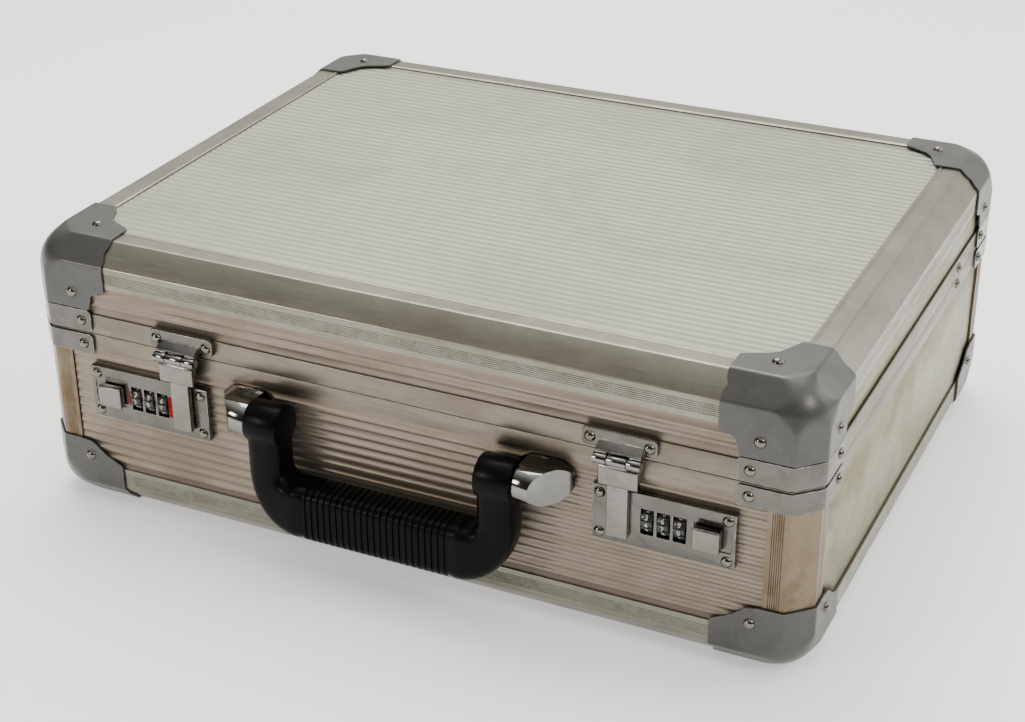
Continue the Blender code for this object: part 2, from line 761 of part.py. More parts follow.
def make_bracket(material, name, side):
    """Chrome bracket: a foot on the board, a round body cut on the slant, and the pin."""
    start = handle_half + swing_gap
    foot_middle = (bracket_inner + bracket_end) / 2
    foot_half = (bracket_end - bracket_inner) / 2
    rear = -board_inset + gap
    outline = rounded_outline(foot_half, bracket_radius, bracket_radius * 0.98, 5)
    foot = prism([(foot_middle + a, ahead(rear), pivot_z + b) for a, b in outline],
                 (0, ahead(bracket_plate) - ahead(rear), 0))
    body = join(rod((start, pivot_y, pivot_z), (bracket_end, pivot_y, pivot_z),
                    bracket_front - pivot_out, 24),
                block((start, bracket_end), (pivot_y, ahead(rear)),
                      (pivot_z - bracket_front + pivot_out, pivot_z + bracket_front - pivot_out)))
    reach = 2 * bracket_radius
    keep = prism([(start - sheet, ahead(bracket_front + sheet), pivot_z - reach),
                  (bracket_slant, ahead(bracket_front + sheet), pivot_z - reach),
                  (bracket_end, ahead(bracket_plate), pivot_z - reach),
                  (bracket_end, ahead(rear), pivot_z - reach),
                  (start - sheet, ahead(rear), pivot_z - reach)], (0, 0, 2 * reach))
    pin = rod((start + sheet, pivot_y, pivot_z),
              (handle_half - pivot_depth + swing_gap, pivot_y, pivot_z), pivot_pin)
    shape = join(foot, limit(body, keep), pin)
    node(f"handle_bracket_{name}", mirrored(shape, side), material, smooth=True)


# ---- lid stays ----

def link(start, end, inset, side):
    """Flat bar between two pivots, with a hole round the stud at its start."""
    x = side * (width / 2 - inset)
    direction = (Vector(end) - Vector(start)).normalized()
    across = Vector((-direction.y, direction.x))
    points = []
    for centre, sign in ((Vector(start), -1), (Vector(end), 1)):
        for step in range(9):
            angle = math.pi * (step / 8 - 0.5)
            points.append(centre + sign * (direction * math.cos(angle) + across * math.sin(angle))
                          * link_half)
    shape = prism([(x, y, z) for y, z in points], (-side * link_sheet, 0, 0))
    hole = rod((x + side * sheet, *start), (x - side * 2 * sheet, *start), stud_radius + gap)
    return cut(shape, hole)


def make_stays(material):
    y = back - stay_from_back
    base_stud = (y, seam - stay_base)
    lid_stud = (y, seam + stay_lid)
    half = (stay_base + stay_lid) / 2
    knee = (y - math.sqrt(link_length ** 2 - half ** 2), (base_stud[1] + lid_stud[1]) / 2)
    for name, side in (("left", -1), ("right", 1)):
        x = side * width / 2
        node(f"stay_lower_{name}", link(base_stud, knee, link_inset, side), material,
             pivot=(x, *base_stud))
        node(f"stay_upper_{name}", link(lid_stud, knee, upper_inset, side), material,
             pivot=(x, *lid_stud))


# ---- the case ----

def build():
    for item in list(bpy.data.objects):
        bpy.data.objects.remove(item, do_unlink=True)
    aluminium = finish("brushed_aluminium", (0.72, 0.70, 0.66), 1.0, 0.38)
    ribbed = finish("ribbed_aluminium", (0.78, 0.78, 0.74), 1.0, 0.34)
    grey = finish("grey_pressed_steel", (0.30, 0.30, 0.29), 0.6, 0.42)
    nickel = finish("nickel", (0.62, 0.60, 0.57), 1.0, 0.28)
    chrome = finish("chrome", (0.80, 0.80, 0.79), 1.0, 0.08)
    black = finish("black_plastic", (0.012, 0.012, 0.013), 0.0, 0.30)
    felt = finish("lining_cloth", (0.05, 0.05, 0.055), 0.0, 0.90)
    for prefix, level in (("base", -1), ("lid", 1)):
        make_edges(aluminium, prefix, level)
    make_posts(aluminium)
    make_rims(aluminium)
    make_boards(ribbed)
    make_linings(felt)
    make_corners(grey)
    make_clips(nickel)
    make_hinge(nickel)
    make_handle(black)
    make_stays(nickel)
    for name, side in (("left", -1), ("right", 1)):
        make_lock_plate(nickel, name, side)
        make_dials(black, name, side)
        make_button(nickel, name, side)
        make_keeper(nickel, name, side)
        make_hasp(nickel, name, side)
        make_bracket(chrome, name, side)


build()
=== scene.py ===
import json
import math

import bmesh
import bpy
from mathutils import Matrix, Vector

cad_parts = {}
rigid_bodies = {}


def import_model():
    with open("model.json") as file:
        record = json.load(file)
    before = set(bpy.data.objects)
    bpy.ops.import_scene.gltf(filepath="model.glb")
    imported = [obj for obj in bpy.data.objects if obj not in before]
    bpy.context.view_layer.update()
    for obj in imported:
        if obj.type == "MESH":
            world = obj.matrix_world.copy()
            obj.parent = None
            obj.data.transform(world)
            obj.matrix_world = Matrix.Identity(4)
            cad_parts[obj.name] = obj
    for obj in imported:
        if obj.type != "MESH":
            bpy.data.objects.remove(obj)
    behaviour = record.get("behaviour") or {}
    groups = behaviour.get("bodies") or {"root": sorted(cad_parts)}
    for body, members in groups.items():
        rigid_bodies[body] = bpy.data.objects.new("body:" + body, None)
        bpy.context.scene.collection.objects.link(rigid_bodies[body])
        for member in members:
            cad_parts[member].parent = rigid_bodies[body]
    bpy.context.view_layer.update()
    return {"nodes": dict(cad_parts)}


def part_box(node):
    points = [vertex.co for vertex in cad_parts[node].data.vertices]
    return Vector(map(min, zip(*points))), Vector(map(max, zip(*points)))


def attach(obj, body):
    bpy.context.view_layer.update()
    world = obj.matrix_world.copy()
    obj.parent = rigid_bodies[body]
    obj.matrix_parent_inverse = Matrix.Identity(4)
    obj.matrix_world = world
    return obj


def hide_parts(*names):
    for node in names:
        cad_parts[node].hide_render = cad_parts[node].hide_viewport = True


for item in list(bpy.data.objects):
    bpy.data.objects.remove(item, do_unlink=True)
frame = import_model()
print("frame loaded")

# Main planes of the case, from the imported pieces. Metres, +X along the front, +Y to the back.
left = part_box("lid_edge_left")[0].x
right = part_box("lid_edge_right")[1].x
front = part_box("lid_edge_front")[0].y
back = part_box("lid_edge_back")[1].y
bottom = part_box("base_edge_front")[0].z
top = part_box("lid_edge_front")[1].z
hairline = 0.00015
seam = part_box("lid_rim")[0].z - hairline
halfWidth = (right - left) / 2
halfDepth = (back - front) / 2
middleY = (front + back) / 2
corners = [("front_left", -1, -1), ("front_right", 1, -1), ("back_left", -1, 1), ("back_right", 1, 1)]


# Effects that several materials share

def feed(tree, socket, value):
    # another node's output is linked, a plain value is set
    if isinstance(value, bpy.types.NodeSocket):
        tree.links.new(value, socket)
    else:
        socket.default_value = value


def mathNode(tree, operation, *values, kind="ShaderNodeMath", output=0):
    node = tree.nodes.new(kind)
    node.operation = operation
    for socket, value in zip(node.inputs, values):
        feed(tree, socket, value)
    return node.outputs[output]


def stretched(tree, vector, stretch):
    return mathNode(tree, "MULTIPLY", vector, stretch, kind="ShaderNodeVectorMath")


def noiseNode(tree, vector, detail, roughness=0.55, distortion=0.0):
    node = tree.nodes.new("ShaderNodeTexNoise")
    for label, value in (("Vector", vector), ("Scale", 1.0), ("Detail", detail), ("Roughness", roughness),
                         ("Distortion", distortion)):
        feed(tree, node.inputs[label], value)
    return node.outputs["Fac"]


def rangeNode(tree, value, low, high, ends=(0.0, 1.0), way="SMOOTHSTEP"):
    node = tree.nodes.new("ShaderNodeMapRange")
    node.interpolation_type = way
    for label, setting in (("Value", value), ("From Min", low), ("From Max", high), ("To Min", ends[0]),
                           ("To Max", ends[1])):
        feed(tree, node.inputs[label], setting)
    return node.outputs["Result"]


def grainMask(tree, vector, stretch):
    return noiseNode(tree, stretched(tree, vector, stretch), 5.0)


def cloudMask(tree, vector, stretch):
    noise = noiseNode(tree, stretched(tree, vector, stretch), 6.0, 0.6, 0.7)
    return rangeNode(tree, noise, 0.42, 0.68)


def scratchMask(tree, vector, stretch):
    # thin lines in two leaning directions
    lines = []
    for turn in ((0.35, 0.2, 0.6), (-0.5, 0.4, -0.9)):
        mapping = tree.nodes.new("ShaderNodeMapping")
        mapping.inputs["Rotation"].default_value = turn
        tree.links.new(vector, mapping.inputs["Vector"])
        noise = noiseNode(tree, stretched(tree, mapping.outputs[0], stretch), 2.0)
        lines.append(rangeNode(tree, noise, 0.70, 0.76))
    return mathNode(tree, "MAXIMUM", *lines)


def speckMask(tree, vector, stretch):
    # round dots, kept only in patches
    scaled = stretched(tree, vector, stretch)
    cells = tree.nodes.new("ShaderNodeTexVoronoi")
    cells.inputs["Scale"].default_value = 1.0
    tree.links.new(scaled, cells.inputs["Vector"])
    dots = rangeNode(tree, cells.outputs["Distance"], 0.13, 0.05)
    return mathNode(tree, "MULTIPLY", dots, rangeNode(tree, noiseNode(tree, scaled, 2.0), 0.55, 0.62))


def edgeMask(tree, vector, radius):
    # where a rounded normal leaves the true one, there is an edge
    bevel = tree.nodes.new("ShaderNodeBevel")
    bevel.samples = 4
    tree.links.new(radius, bevel.inputs["Radius"])
    shape = tree.nodes.new("ShaderNodeNewGeometry")
    likeness = mathNode(tree, "DOT_PRODUCT", bevel.outputs[0], shape.outputs["Normal"],
                        kind="ShaderNodeVectorMath", output="Value")
    scaled = stretched(tree, vector, (260.0, 260.0, 260.0))
    patches = rangeNode(tree, noiseNode(tree, scaled, 4.0), 0.40, 0.60)
    return mathNode(tree, "MULTIPLY", rangeNode(tree, likeness, 0.995, 0.90), patches)


def effectGroup(name, maskOf, setting="Stretch", kind="NodeSocketVector"):
    tree = bpy.data.node_groups.new(name, "ShaderNodeTree")
    for label, way, socket in (("Vector", "INPUT", "NodeSocketVector"), (setting, "INPUT", kind),
                               ("Mask", "OUTPUT", "NodeSocketFloat")):
        tree.interface.new_socket(label, in_out=way, socket_type=socket)
    start, end = tree.nodes.new("NodeGroupInput"), tree.nodes.new("NodeGroupOutput")
    mask = maskOf(tree, start.outputs["Vector"], start.outputs[setting])
    tree.links.new(mask, end.inputs["Mask"])
    return tree


groups = {name: effectGroup(name, maskOf) for name, maskOf in (
    ("grain", grainMask), ("clouds", cloudMask), ("scratches", scratchMask), ("specks", speckMask))}
groups["edgeWear"] = effectGroup("edgeWear", edgeMask, "Radius", "NodeSocketFloat")


def placeGroup(tree, kind, coordinates, **values):
    node = tree.nodes.new("ShaderNodeGroup")
    node.node_tree = groups[kind]
    tree.links.new(coordinates, node.inputs["Vector"])
    for label, value in values.items():
        node.inputs[label].default_value = value
    return node.outputs[0]


def mixColour(tree, factor, share, first, second):
    mix = tree.nodes.new("ShaderNodeMix")
    mix.data_type = "RGBA"
    tree.links.new(mathNode(tree, "MULTIPLY", factor, share), mix.inputs["Factor"])
    feed(tree, mix.inputs[6], first)
    mix.inputs[7].default_value = (*second, 1.0)
    return mix.outputs[2]


# Each effect: the key of its stretch, its group, the keys of its amount and of its colour
effects = [("cloud", "clouds", "stained", "stain"), ("blot", "clouds", "blotted", "blotColour"),
           ("grain", "grain", "grained", "grainColour"),
           ("scratch", "scratches", "scratched", "scratchColour"),
           ("speck", "specks", "specked", "speckColour")]
# What a finish has where its own look says nothing else
commonLook = {"cloud": (9, 9, 9), "blot": (60, 60, 60), "grain": (700, 700, 700), "scratch": (25, 900, 900),
              "speck": (160, 160, 160), "stained": 0.6, "blotted": 0.2, "grained": 0.15, "scratched": 0.3,
              "specked": 0.5, "speckColour": (0.10, 0.07, 0.045), "worn": 0.0, "wearRadius": 0.0009,
              "roughSpan": (0.3, 0.7), "cloudRough": 0.18, "scratchDepth": -0.6, "bump": 0.25,
              "bumpDepth": 0.0001, "sheen": 0.0, "sheenRough": 0.4, "specular": 0.5}


def finishMaterial(name, ownLook):
    look = {**commonLook, "blotColour": ownLook["stain"], "grainColour": ownLook["stain"],
            "scratchColour": ownLook["colour"], **ownLook}
    material = bpy.data.materials.new(name)
    material.use_nodes = True
    tree = material.node_tree
    shader = tree.nodes["Principled BSDF"]
    place = tree.nodes.new("ShaderNodeTexCoord").outputs["Object"]
    colour = (*look["colour"], 1.0)
    masks = {}
    for effect, group, amount, tint in effects:
        masks[effect] = placeGroup(tree, group, place, Stretch=look[effect])
        colour = mixColour(tree, masks[effect], look[amount], colour, look[tint])
    if look["worn"]:
        wear = placeGroup(tree, "edgeWear", place, Radius=look["wearRadius"])
        colour = mixColour(tree, wear, look["worn"], colour, look["wornColour"])
    uneven = mathNode(tree, "MULTIPLY_ADD", masks["cloud"], look["cloudRough"], masks["grain"])
    height = mathNode(tree, "MULTIPLY_ADD", masks["scratch"], look["scratchDepth"], masks["grain"])
    bump = tree.nodes.new("ShaderNodeBump")
    bump.inputs["Strength"].default_value = look["bump"]
    bump.inputs["Distance"].default_value = look["bumpDepth"]
    tree.links.new(height, bump.inputs["Height"])
    rough = rangeNode(tree, uneven, *look["roughSpan"], look["rough"], "LINEAR")
    for label, value in (
            ("Base Color", colour), ("Roughness", rough), ("Normal", bump.outputs["Normal"]),
            ("Metallic", look["metallic"]), ("Specular IOR Level", look["specular"]),
            ("Sheen Weight", look["sheen"]), ("Sheen Roughness", look["sheenRough"])):
        feed(tree, shader.inputs[label], value)
    material.diffuse_color = (*look["colour"], 1.0)
    return material


# Finishes of this case
plastic = {"metallic": 0.0, "specked": 0.0, "bump": 0.1}
finishes = {
    "panelTop": {"colour": (0.33, 0.336, 0.278), "stain": (0.265, 0.27, 0.215), "cloud": (7, 9, 7),
                 "grain": (60, 1500, 1500), "grained": 0.12, "rough": (0.50, 0.62), "metallic": 0.75,
                 "blotted": 0.15, "scratched": 0.12, "bump": 0.12},
    # darker, warmer copy of the ribbed aluminium of the top and side boards: painted shade on the front and
    # back sheets
    "panelFrontShaded": {"colour": (0.265, 0.225, 0.18), "stain": (0.175, 0.144, 0.11), "cloud": (12, 12, 26),
                   "blot": (18, 60, 220), "grain": (40, 1500, 1500), "rough": (0.40, 0.52), "metallic": 0.85,
                   "stained": 0.55, "blotted": 0.35, "scratched": 0.15, "specked": 0.4, "bump": 0.12},
    "panelSide": {"colour": (0.32, 0.325, 0.24), "stain": (0.22, 0.175, 0.09), "cloud": (14, 14, 22),
                  "blot": (50, 50, 70), "grain": (1500, 40, 1500), "rough": (0.36, 0.50), "metallic": 0.8,
                  "stained": 0.55, "blotted": 0.45, "scratched": 0.2, "specked": 0.8, "bump": 0.15},
    "extrusion": {"colour": (0.255, 0.246, 0.205), "stain": (0.155, 0.142, 0.11), "cloud": (16, 16, 40),
                  "blot": (34, 34, 90), "grain": (50, 50, 1400), "rough": (0.26, 0.40), "metallic": 0.9,
                  "stained": 0.55, "blotted": 0.35, "scratched": 0.2, "bump": 0.10,
                  "worn": 0.4, "wornColour": (0.42, 0.41, 0.37)},
    "rim": {"colour": (0.215, 0.188, 0.152), "stain": (0.135, 0.112, 0.085), "cloud": (16, 16, 60),
            "blot": (26, 26, 300), "grain": (45, 45, 1500), "rough": (0.28, 0.40), "metallic": 0.9,
            "blotted": 0.5, "scratched": 0.2, "bump": 0.14, "worn": 0.4, "wornColour": (0.42, 0.40, 0.36)},
    "post": {"colour": (0.195, 0.158, 0.112), "stain": (0.11, 0.066, 0.03), "cloud": (30, 30, 22),
             "blot": (90, 90, 50), "grain": (1400, 1400, 50), "rough": (0.26, 0.42), "metallic": 0.88,
             "blotted": 0.6, "scratched": 0.2, "specked": 1.0, "speckColour": (0.12, 0.075, 0.04),
             "bump": 0.12},
    "cornerPaint": {"colour": (0.080, 0.080, 0.077), "stain": (0.058, 0.056, 0.052), "cloud": (30, 30, 30),
                    "blot": (120, 120, 120), "blotColour": (0.11, 0.105, 0.10), "grain": (900, 900, 900),
                    "rough": (0.28, 0.40), "metallic": 0.55, "scratched": 0.5,
                    "scratchColour": (0.20, 0.20, 0.19), "scratch": (60, 900, 900), "blotted": 0.3,
                    "bump": 0.2, "worn": 0.7, "wornColour": (0.22, 0.22, 0.21)},
    "nickel": {"colour": (0.135, 0.132, 0.122), "stain": (0.085, 0.078, 0.068), "cloud": (70, 70, 70),
               "grain": (120, 120, 1600), "rough": (0.16, 0.28), "metallic": 1.0,
               "scratch": (160, 1600, 1600), "stained": 0.5, "specked": 0.3, "bump": 0.10,
               "worn": 0.5, "wornColour": (0.55, 0.54, 0.52)},
    "polished": {"colour": (0.22, 0.22, 0.21), "stain": (0.15, 0.145, 0.13), "cloud": (90, 90, 90),
                 "rough": (0.05, 0.14), "metallic": 1.0, "scratched": 0.25, "scratch": (160, 1600, 1600),
                 "stained": 0.35, "specked": 0.2, "bump": 0.05},
    "rivet": {"colour": (0.20, 0.19, 0.165), "stain": (0.085, 0.07, 0.05), "cloud": (240, 240, 240),
              "rough": (0.10, 0.2), "metallic": 1.0, "bump": 0.05},
    "blackPlastic": {**plastic, "colour": (0.0022, 0.0022, 0.0025), "stain": (0.004, 0.004, 0.004),
                     "cloud": (40, 40, 40), "grain": (1200, 1200, 1200), "grained": 0.3,
                     "scratchColour": (0.012, 0.012, 0.012), "rough": (0.24, 0.36), "specular": 0.06,
                     "bump": 0.25, "worn": 0.3, "wornColour": (0.008, 0.008, 0.0085)},
    "dialPlastic": {**plastic, "colour": (0.012, 0.012, 0.012), "stain": (0.03, 0.03, 0.028),
                    "cloud": (300, 300, 300), "rough": (0.22, 0.36)},
    "numeral": {**plastic, "colour": (0.62, 0.61, 0.56), "stain": (0.35, 0.33, 0.28),
                "cloud": (500, 500, 500), "rough": (0.4, 0.55)},
    "redEnamel": {**plastic, "colour": (0.26, 0.008, 0.006), "stain": (0.15, 0.006, 0.005),
                  "cloud": (300, 300, 300), "rough": (0.5, 0.6), "specular": 0.08},
    "liningCloth": {"colour": (0.040, 0.041, 0.045), "stain": (0.060, 0.060, 0.064), "cloud": (18, 18, 18),
                    "grain": (2200, 2200, 2200), "rough": (0.80, 0.95), "metallic": 0.0, "grained": 0.5,
                    "grainColour": (0.09, 0.09, 0.095), "scratched": 0.0, "specked": 0.0, "bump": 0.8,
                    "bumpDepth": 0.0004, "sheen": 0.4, "specular": 0.2},
}
# a lighter copy of the nickel for the hasp tabs and button caps, brighter than the plates: painted reflection
finishes["nickelWithPaintedReflection"] = {**finishes["nickel"], "colour": (0.215, 0.202, 0.186),
                            "stain": (0.14, 0.128, 0.112)}
materials = {name: finishMaterial(name, look) for name, look in finishes.items()}
print("materials made:", len(materials))


# Modelling helpers

def recalculated(bm):
    bmesh.ops.remove_doubles(bm, verts=bm.verts, dist=1e-6)
    bmesh.ops.recalc_face_normals(bm, faces=bm.faces)
    if bm.calc_volume(signed=True) < 0:
        bmesh.ops.reverse_faces(bm, faces=bm.faces)
    return bm


def meshOf(bm, name):
    mesh = bpy.data.meshes.new(name)
    bm.to_mesh(mesh)
    bm.free()
    return mesh


def objectOf(name, data):
    thing = bpy.data.objects.new(name, data)
    bpy.context.scene.collection.objects.link(thing)
    return thing


def piece(name, bm, finish, body, replaced=(), angle=38):
    mesh = meshOf(bm, name)
    mesh.materials.append(materials[finish])
    mesh.shade_smooth()
    mesh.set_sharp_from_angle(angle=math.radians(angle))
    thing = objectOf(name, mesh)
    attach(thing, body)
    if replaced:
        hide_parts(*replaced)
    return thing


def softEdges(thing, width, segments, angle, harden=False):
    bevel = thing.modifiers.new("softEdges", "BEVEL")
    bevel.width, bevel.segments = width, segments
    bevel.limit_method, bevel.angle_limit = "ANGLE", math.radians(angle)
    bevel.harden_normals = harden


def added(bm, other):
    # the other bmesh's shapes go into this one
    mesh = meshOf(other, "part")
    bm.from_mesh(mesh)
    bpy.data.meshes.remove(mesh)
    return bm


def bevelled(bm, edges, offset, segments=2, affect="EDGES"):
    bmesh.ops.bevel(bm, geom=edges, offset=offset, segments=segments, profile=0.5, affect=affect, material=-1)


def capRims(bm):
    # the edges of faces that have more corners than a side wall
    return [edge for edge in bm.edges if any(len(face.verts) > 4 for face in edge.link_faces)]


def box(x, y, z, edge=0.0, segments=2):
    bm = bmesh.new()
    bmesh.ops.create_cube(bm, size=1.0)
    bmesh.ops.scale(bm, vec=[abs(s[1] - s[0]) for s in (x, y, z)], verts=bm.verts)
    bmesh.ops.translate(bm, vec=[(s[0] + s[1]) / 2 for s in (x, y, z)], verts=bm.verts)
    if edge:
        bevelled(bm, bm.edges[:], edge, segments)
    return bm


def sweep(loops, ring=False):
    # an outline taken through places by extruding its edges; capped, or closed to a ring
    bm = bmesh.new()
    order = bm.verts.layers.int.new("order")
    verts = [bm.verts.new(point) for point in loops[0]]
    for index, vert in enumerate(verts):
        vert[order] = index
    edges = [bm.edges.new((verts[index - 1], verts[index])) for index in range(len(verts))]
    if not ring:
        bmesh.ops.contextual_create(bm, geom=edges)
    for loop in loops[1:] + (loops[:1] if ring else []):
        made = bmesh.ops.extrude_edge_only(bm, edges=edges)["geom"]
        fresh = {part for part in made if isinstance(part, bmesh.types.BMVert)}
        for vert in fresh:
            vert.co = loop[vert[order]]
        edges = [part for part in made if isinstance(part, bmesh.types.BMEdge)
                 and all(vert in fresh for vert in part.verts)]
    if not ring:
        bmesh.ops.contextual_create(bm, geom=edges)
    return recalculated(bm)


def drawn(outline, start, end):
    return sweep([[tuple(start[i] + p[i] for i in range(3)) for p in outline],
                  [tuple(end[i] + p[i] for i in range(3)) for p in outline]])


def rod(start, end, radius, segments=32, edge=0.0):
    axis = Vector(end) - Vector(start)
    turn = Vector((0, 0, 1)).rotation_difference(axis).to_matrix().to_4x4()
    middle = Matrix.Translation((Vector(start) + Vector(end)) / 2)
    bm = bmesh.new()
    bmesh.ops.create_cone(bm, cap_ends=True, segments=segments, radius1=radius, radius2=radius,
                          depth=axis.length, matrix=middle @ turn)
    if edge:
        bevelled(bm, capRims(bm), edge)
    return bm


def roundedOutline(halfA, halfB, radius, steps):
    points = []
    for index, (a, b) in enumerate(((1, 1), (-1, 1), (-1, -1), (1, -1))):
        for step in range(steps + 1):
            angle = math.pi / 2 * (index + step / steps)
            points.append((a * (halfA - radius) + radius * math.cos(angle),
                           b * (halfB - radius) + radius * math.sin(angle)))
    return points


def softened(path, radius):
    # inner points of an open path are cut to short curves
    points = [path[0]]
    for before, here, after in zip(path, path[1:], path[2:]):
        a, b, c = Vector(before), Vector(here), Vector(after)
        near = b + (a - b).normalized() * min(radius, (a - b).length * 0.45)
        far = b + (c - b).normalized() * min(radius, (c - b).length * 0.45)
        points += [tuple(near), tuple((near + 2 * b + far) / 4), tuple(far)]
    return points + [path[-1]]


def cornerPlace(side, end, level):
    place = Vector((side * halfWidth, middleY + end * halfDepth, top if level > 0 else bottom))
    return Matrix.Translation(place) @ Matrix.Diagonal((-side, -end, -level, 1.0))


def mapped(bm, matrix):
    bmesh.ops.transform(bm, matrix=matrix, verts=bm.verts)
    return recalculated(bm)


def copied(bm, matrix):
    return mapped(bm.copy(), matrix)


def byBoolean(bm, others, operation):
    body, *tools = [objectOf("cutting", meshOf(shape, "cutting")) for shape in (bm, *others)]
    for tool in tools:
        modifier = body.modifiers.new("cut", "BOOLEAN")
        modifier.operation = operation
        modifier.solver = "EXACT"
        modifier.object = tool
    evaluated = body.evaluated_get(bpy.context.evaluated_depsgraph_get())
    result = bmesh.new()
    result.from_mesh(evaluated.to_mesh())
    evaluated.to_mesh_clear()
    for thing in [body] + tools:
        mesh = thing.data
        bpy.data.objects.remove(thing, do_unlink=True)
        bpy.data.meshes.remove(mesh)
    return result


def rivetInto(bm, place, facing, radius=0.0031, rise=0.0019):
    # turned dome on a thin shoulder
    shape = bmesh.new()
    profile = [(0.0, rise), (0.35, rise * 0.96), (0.62, rise * 0.80), (0.84, rise * 0.50),
               (0.95, rise * 0.22), (1.0, 0.0001), (1.0, -0.0003)]
    verts = [shape.verts.new((share * radius, 0.0, height)) for share, height in profile]
    edges = [shape.edges.new(pair) for pair in zip(verts, verts[1:])]
    bmesh.ops.spin(shape, geom=verts + edges, cent=(0, 0, 0), axis=(0, 0, 1), angle=math.tau,
                   steps=24, use_merge=True)
    bmesh.ops.remove_doubles(shape, verts=shape.verts, dist=1e-6)
    bmesh.ops.contextual_create(shape, geom=[edge for edge in shape.edges if edge.is_boundary])
    turn = Vector((0, 0, 1)).rotation_difference(Vector(facing)).to_matrix().to_4x4()
    return added(bm, mapped(shape, Matrix.Translation(place) @ turn))


# Camera, floor and light
view = {"lens": 68.58, "sensor": 36.0, "clip": (0.01, 50), "place": (0.43765, -0.94328, 0.59709),
        "azimuth": 25.40, "elevation": 27.52, "roll": -0.314}
studio = {
    "floorColour": (0.94, 0.94, 0.94), "floorRough": 0.9, "floorGlow": 0.45, "floorReach": 60.0,
    "worldStrength": 1.35, "skyAxis": (0.16, 0.50, 0.85),
    "sky": [(0.0, (0.06, 0.05, 0.045)), (0.12, (0.12, 0.11, 0.10)), (0.36, (0.34, 0.34, 0.31)),
            (0.72, (1.0, 1.0, 0.96))],
    "lights": [("topLight", (-0.4, 0.6, 1.7), 1.3, 36.0, (1.0, 1.0, 0.97)),
               ("keyLight", (-1.0, -1.55, 0.72), 0.42, 11.0, (1.0, 0.93, 0.85)),
               ("sideLight", (1.3, 0.9, 0.8), 1.0, 8.0, (0.98, 1.0, 0.94)),
               ("tipLight", (1.25, -0.5, 1.05), 0.45, 6.0, (1.0, 0.94, 0.88))],
    "aim": (0, 0, 0.08)}

camera = bpy.data.cameras.new("camera")
camera.lens, camera.sensor_width = view["lens"], view["sensor"]
camera.clip_start, camera.clip_end = view["clip"]
cameraObject = objectOf("camera", camera)
bpy.context.scene.camera = cameraObject
azimuth, elevation, roll = [math.radians(view[key]) for key in ("azimuth", "elevation", "roll")]
backward = Vector((math.sin(azimuth) * math.cos(elevation), -math.cos(azimuth) * math.cos(elevation),
                   math.sin(elevation)))
sideways = Vector((math.cos(azimuth), math.sin(azimuth), 0))
upward = backward.cross(sideways)
turnedSide = sideways * math.cos(roll) + upward * math.sin(roll)
turnedUp = upward * math.cos(roll) - sideways * math.sin(roll)
cameraObject.matrix_world = Matrix.Translation(view["place"]) @ Matrix(
    (turnedSide, turnedUp, backward)).transposed().to_4x4()

floor = bmesh.new()
bmesh.ops.create_grid(floor, x_segments=1, y_segments=1, size=studio["floorReach"])
floorMesh = meshOf(floor, "floor")
floorMaterial = bpy.data.materials.new("floorPaper")
floorMaterial.use_nodes = True
floorShader = floorMaterial.node_tree.nodes["Principled BSDF"]
for label, value in (("Base Color", (*studio["floorColour"], 1.0)), ("Roughness", studio["floorRough"]),
                     ("Emission Color", (1.0, 1.0, 1.0, 1.0)), ("Emission Strength", studio["floorGlow"])):
    floorShader.inputs[label].default_value = value
floorMesh.materials.append(floorMaterial)
objectOf("floor", floorMesh)

world = bpy.data.worlds.new("studioRoom")
bpy.context.scene.world = world
world.use_nodes = True
worldTree = world.node_tree
direction = worldTree.nodes.new("ShaderNodeTexCoord").outputs["Generated"]
climb = mathNode(worldTree, "DOT_PRODUCT", direction, studio["skyAxis"], kind="ShaderNodeVectorMath",
                 output="Value")
ramp = worldTree.nodes.new("ShaderNodeValToRGB")
ramp.color_ramp.elements.remove(ramp.color_ramp.elements[1])
for index, (position, colour) in enumerate(studio["sky"]):
    stop = ramp.color_ramp.elements.new(position) if index else ramp.color_ramp.elements[0]
    stop.position, stop.color = position, (*colour, 1)
worldTree.links.new(climb, ramp.inputs["Fac"])
worldTree.links.new(ramp.outputs["Color"], worldTree.nodes["Background"].inputs["Color"])
worldTree.nodes["Background"].inputs["Strength"].default_value = studio["worldStrength"]


def softLight(name, place, target, size, power, colour):
    light = bpy.data.lights.new(name, "AREA")
    light.shape, light.size, light.energy, light.color = "SQUARE", size, power, colour
    thing = objectOf(name, light)
    thing.location = place
    thing.rotation_mode = "QUATERNION"
    thing.rotation_quaternion = (Vector(place) - Vector(target)).to_track_quat("Z", "Y")


for name, place, size, power, colour in studio["lights"]:
    softLight(name, place, studio["aim"], size, power, colour)
print("studio ready")


# CAD pieces that keep their shape get soft edges and their finish
def dressed(names, finish, width=0.00025):
    for name in names:
        thing = frame["nodes"][name]
        thing.data.materials.clear()
        thing.data.materials.append(materials[finish])
        thing.data.shade_smooth()
        weld = thing.modifiers.new("weld", "WELD")
        weld.merge_threshold = 0.00001
        if width:
            softEdges(thing, width, 2, 35, True)


dressed(["base_rim", "lid_rim"], "rim", 0.0004)
dressed(["base_floor", "lid_top"], "panelTop", 0)
dressed(["base_walls", "lid_walls"], "panelSide", 0)
dressed(["hinge_leaf_base", "hinge_leaf_lid"], "nickel", 0.0002)
dressed([f"stay_{link}_{side}" for link in ("lower", "upper") for side in ("left", "right")],
        "nickel")
dressed(["lock_plate_left", "lock_plate_right"], "nickel", 0.0003)
print("kept pieces dressed")


# Ribbed sheets of the boards
beadShape = [(-1.0, 0.0), (-0.86, 0.55), (-0.5, 0.93), (0.0, 1.0), (0.5, 0.93), (0.86, 0.55), (1.0, 0.0)]
ribs = {"pitch": 0.00575, "bead": 0.0026, "rise": 0.00017, "land": 0.003, "sheet": 0.0003,
        "stand": 0.00005}
wallRibs = {**ribs, "pitch": 0.0054, "rise": 0.00034}
flange = 0.0242      # inner edge of a flange, from the outer planes
boardFace = 0.0015   # outer face of a board behind its plane
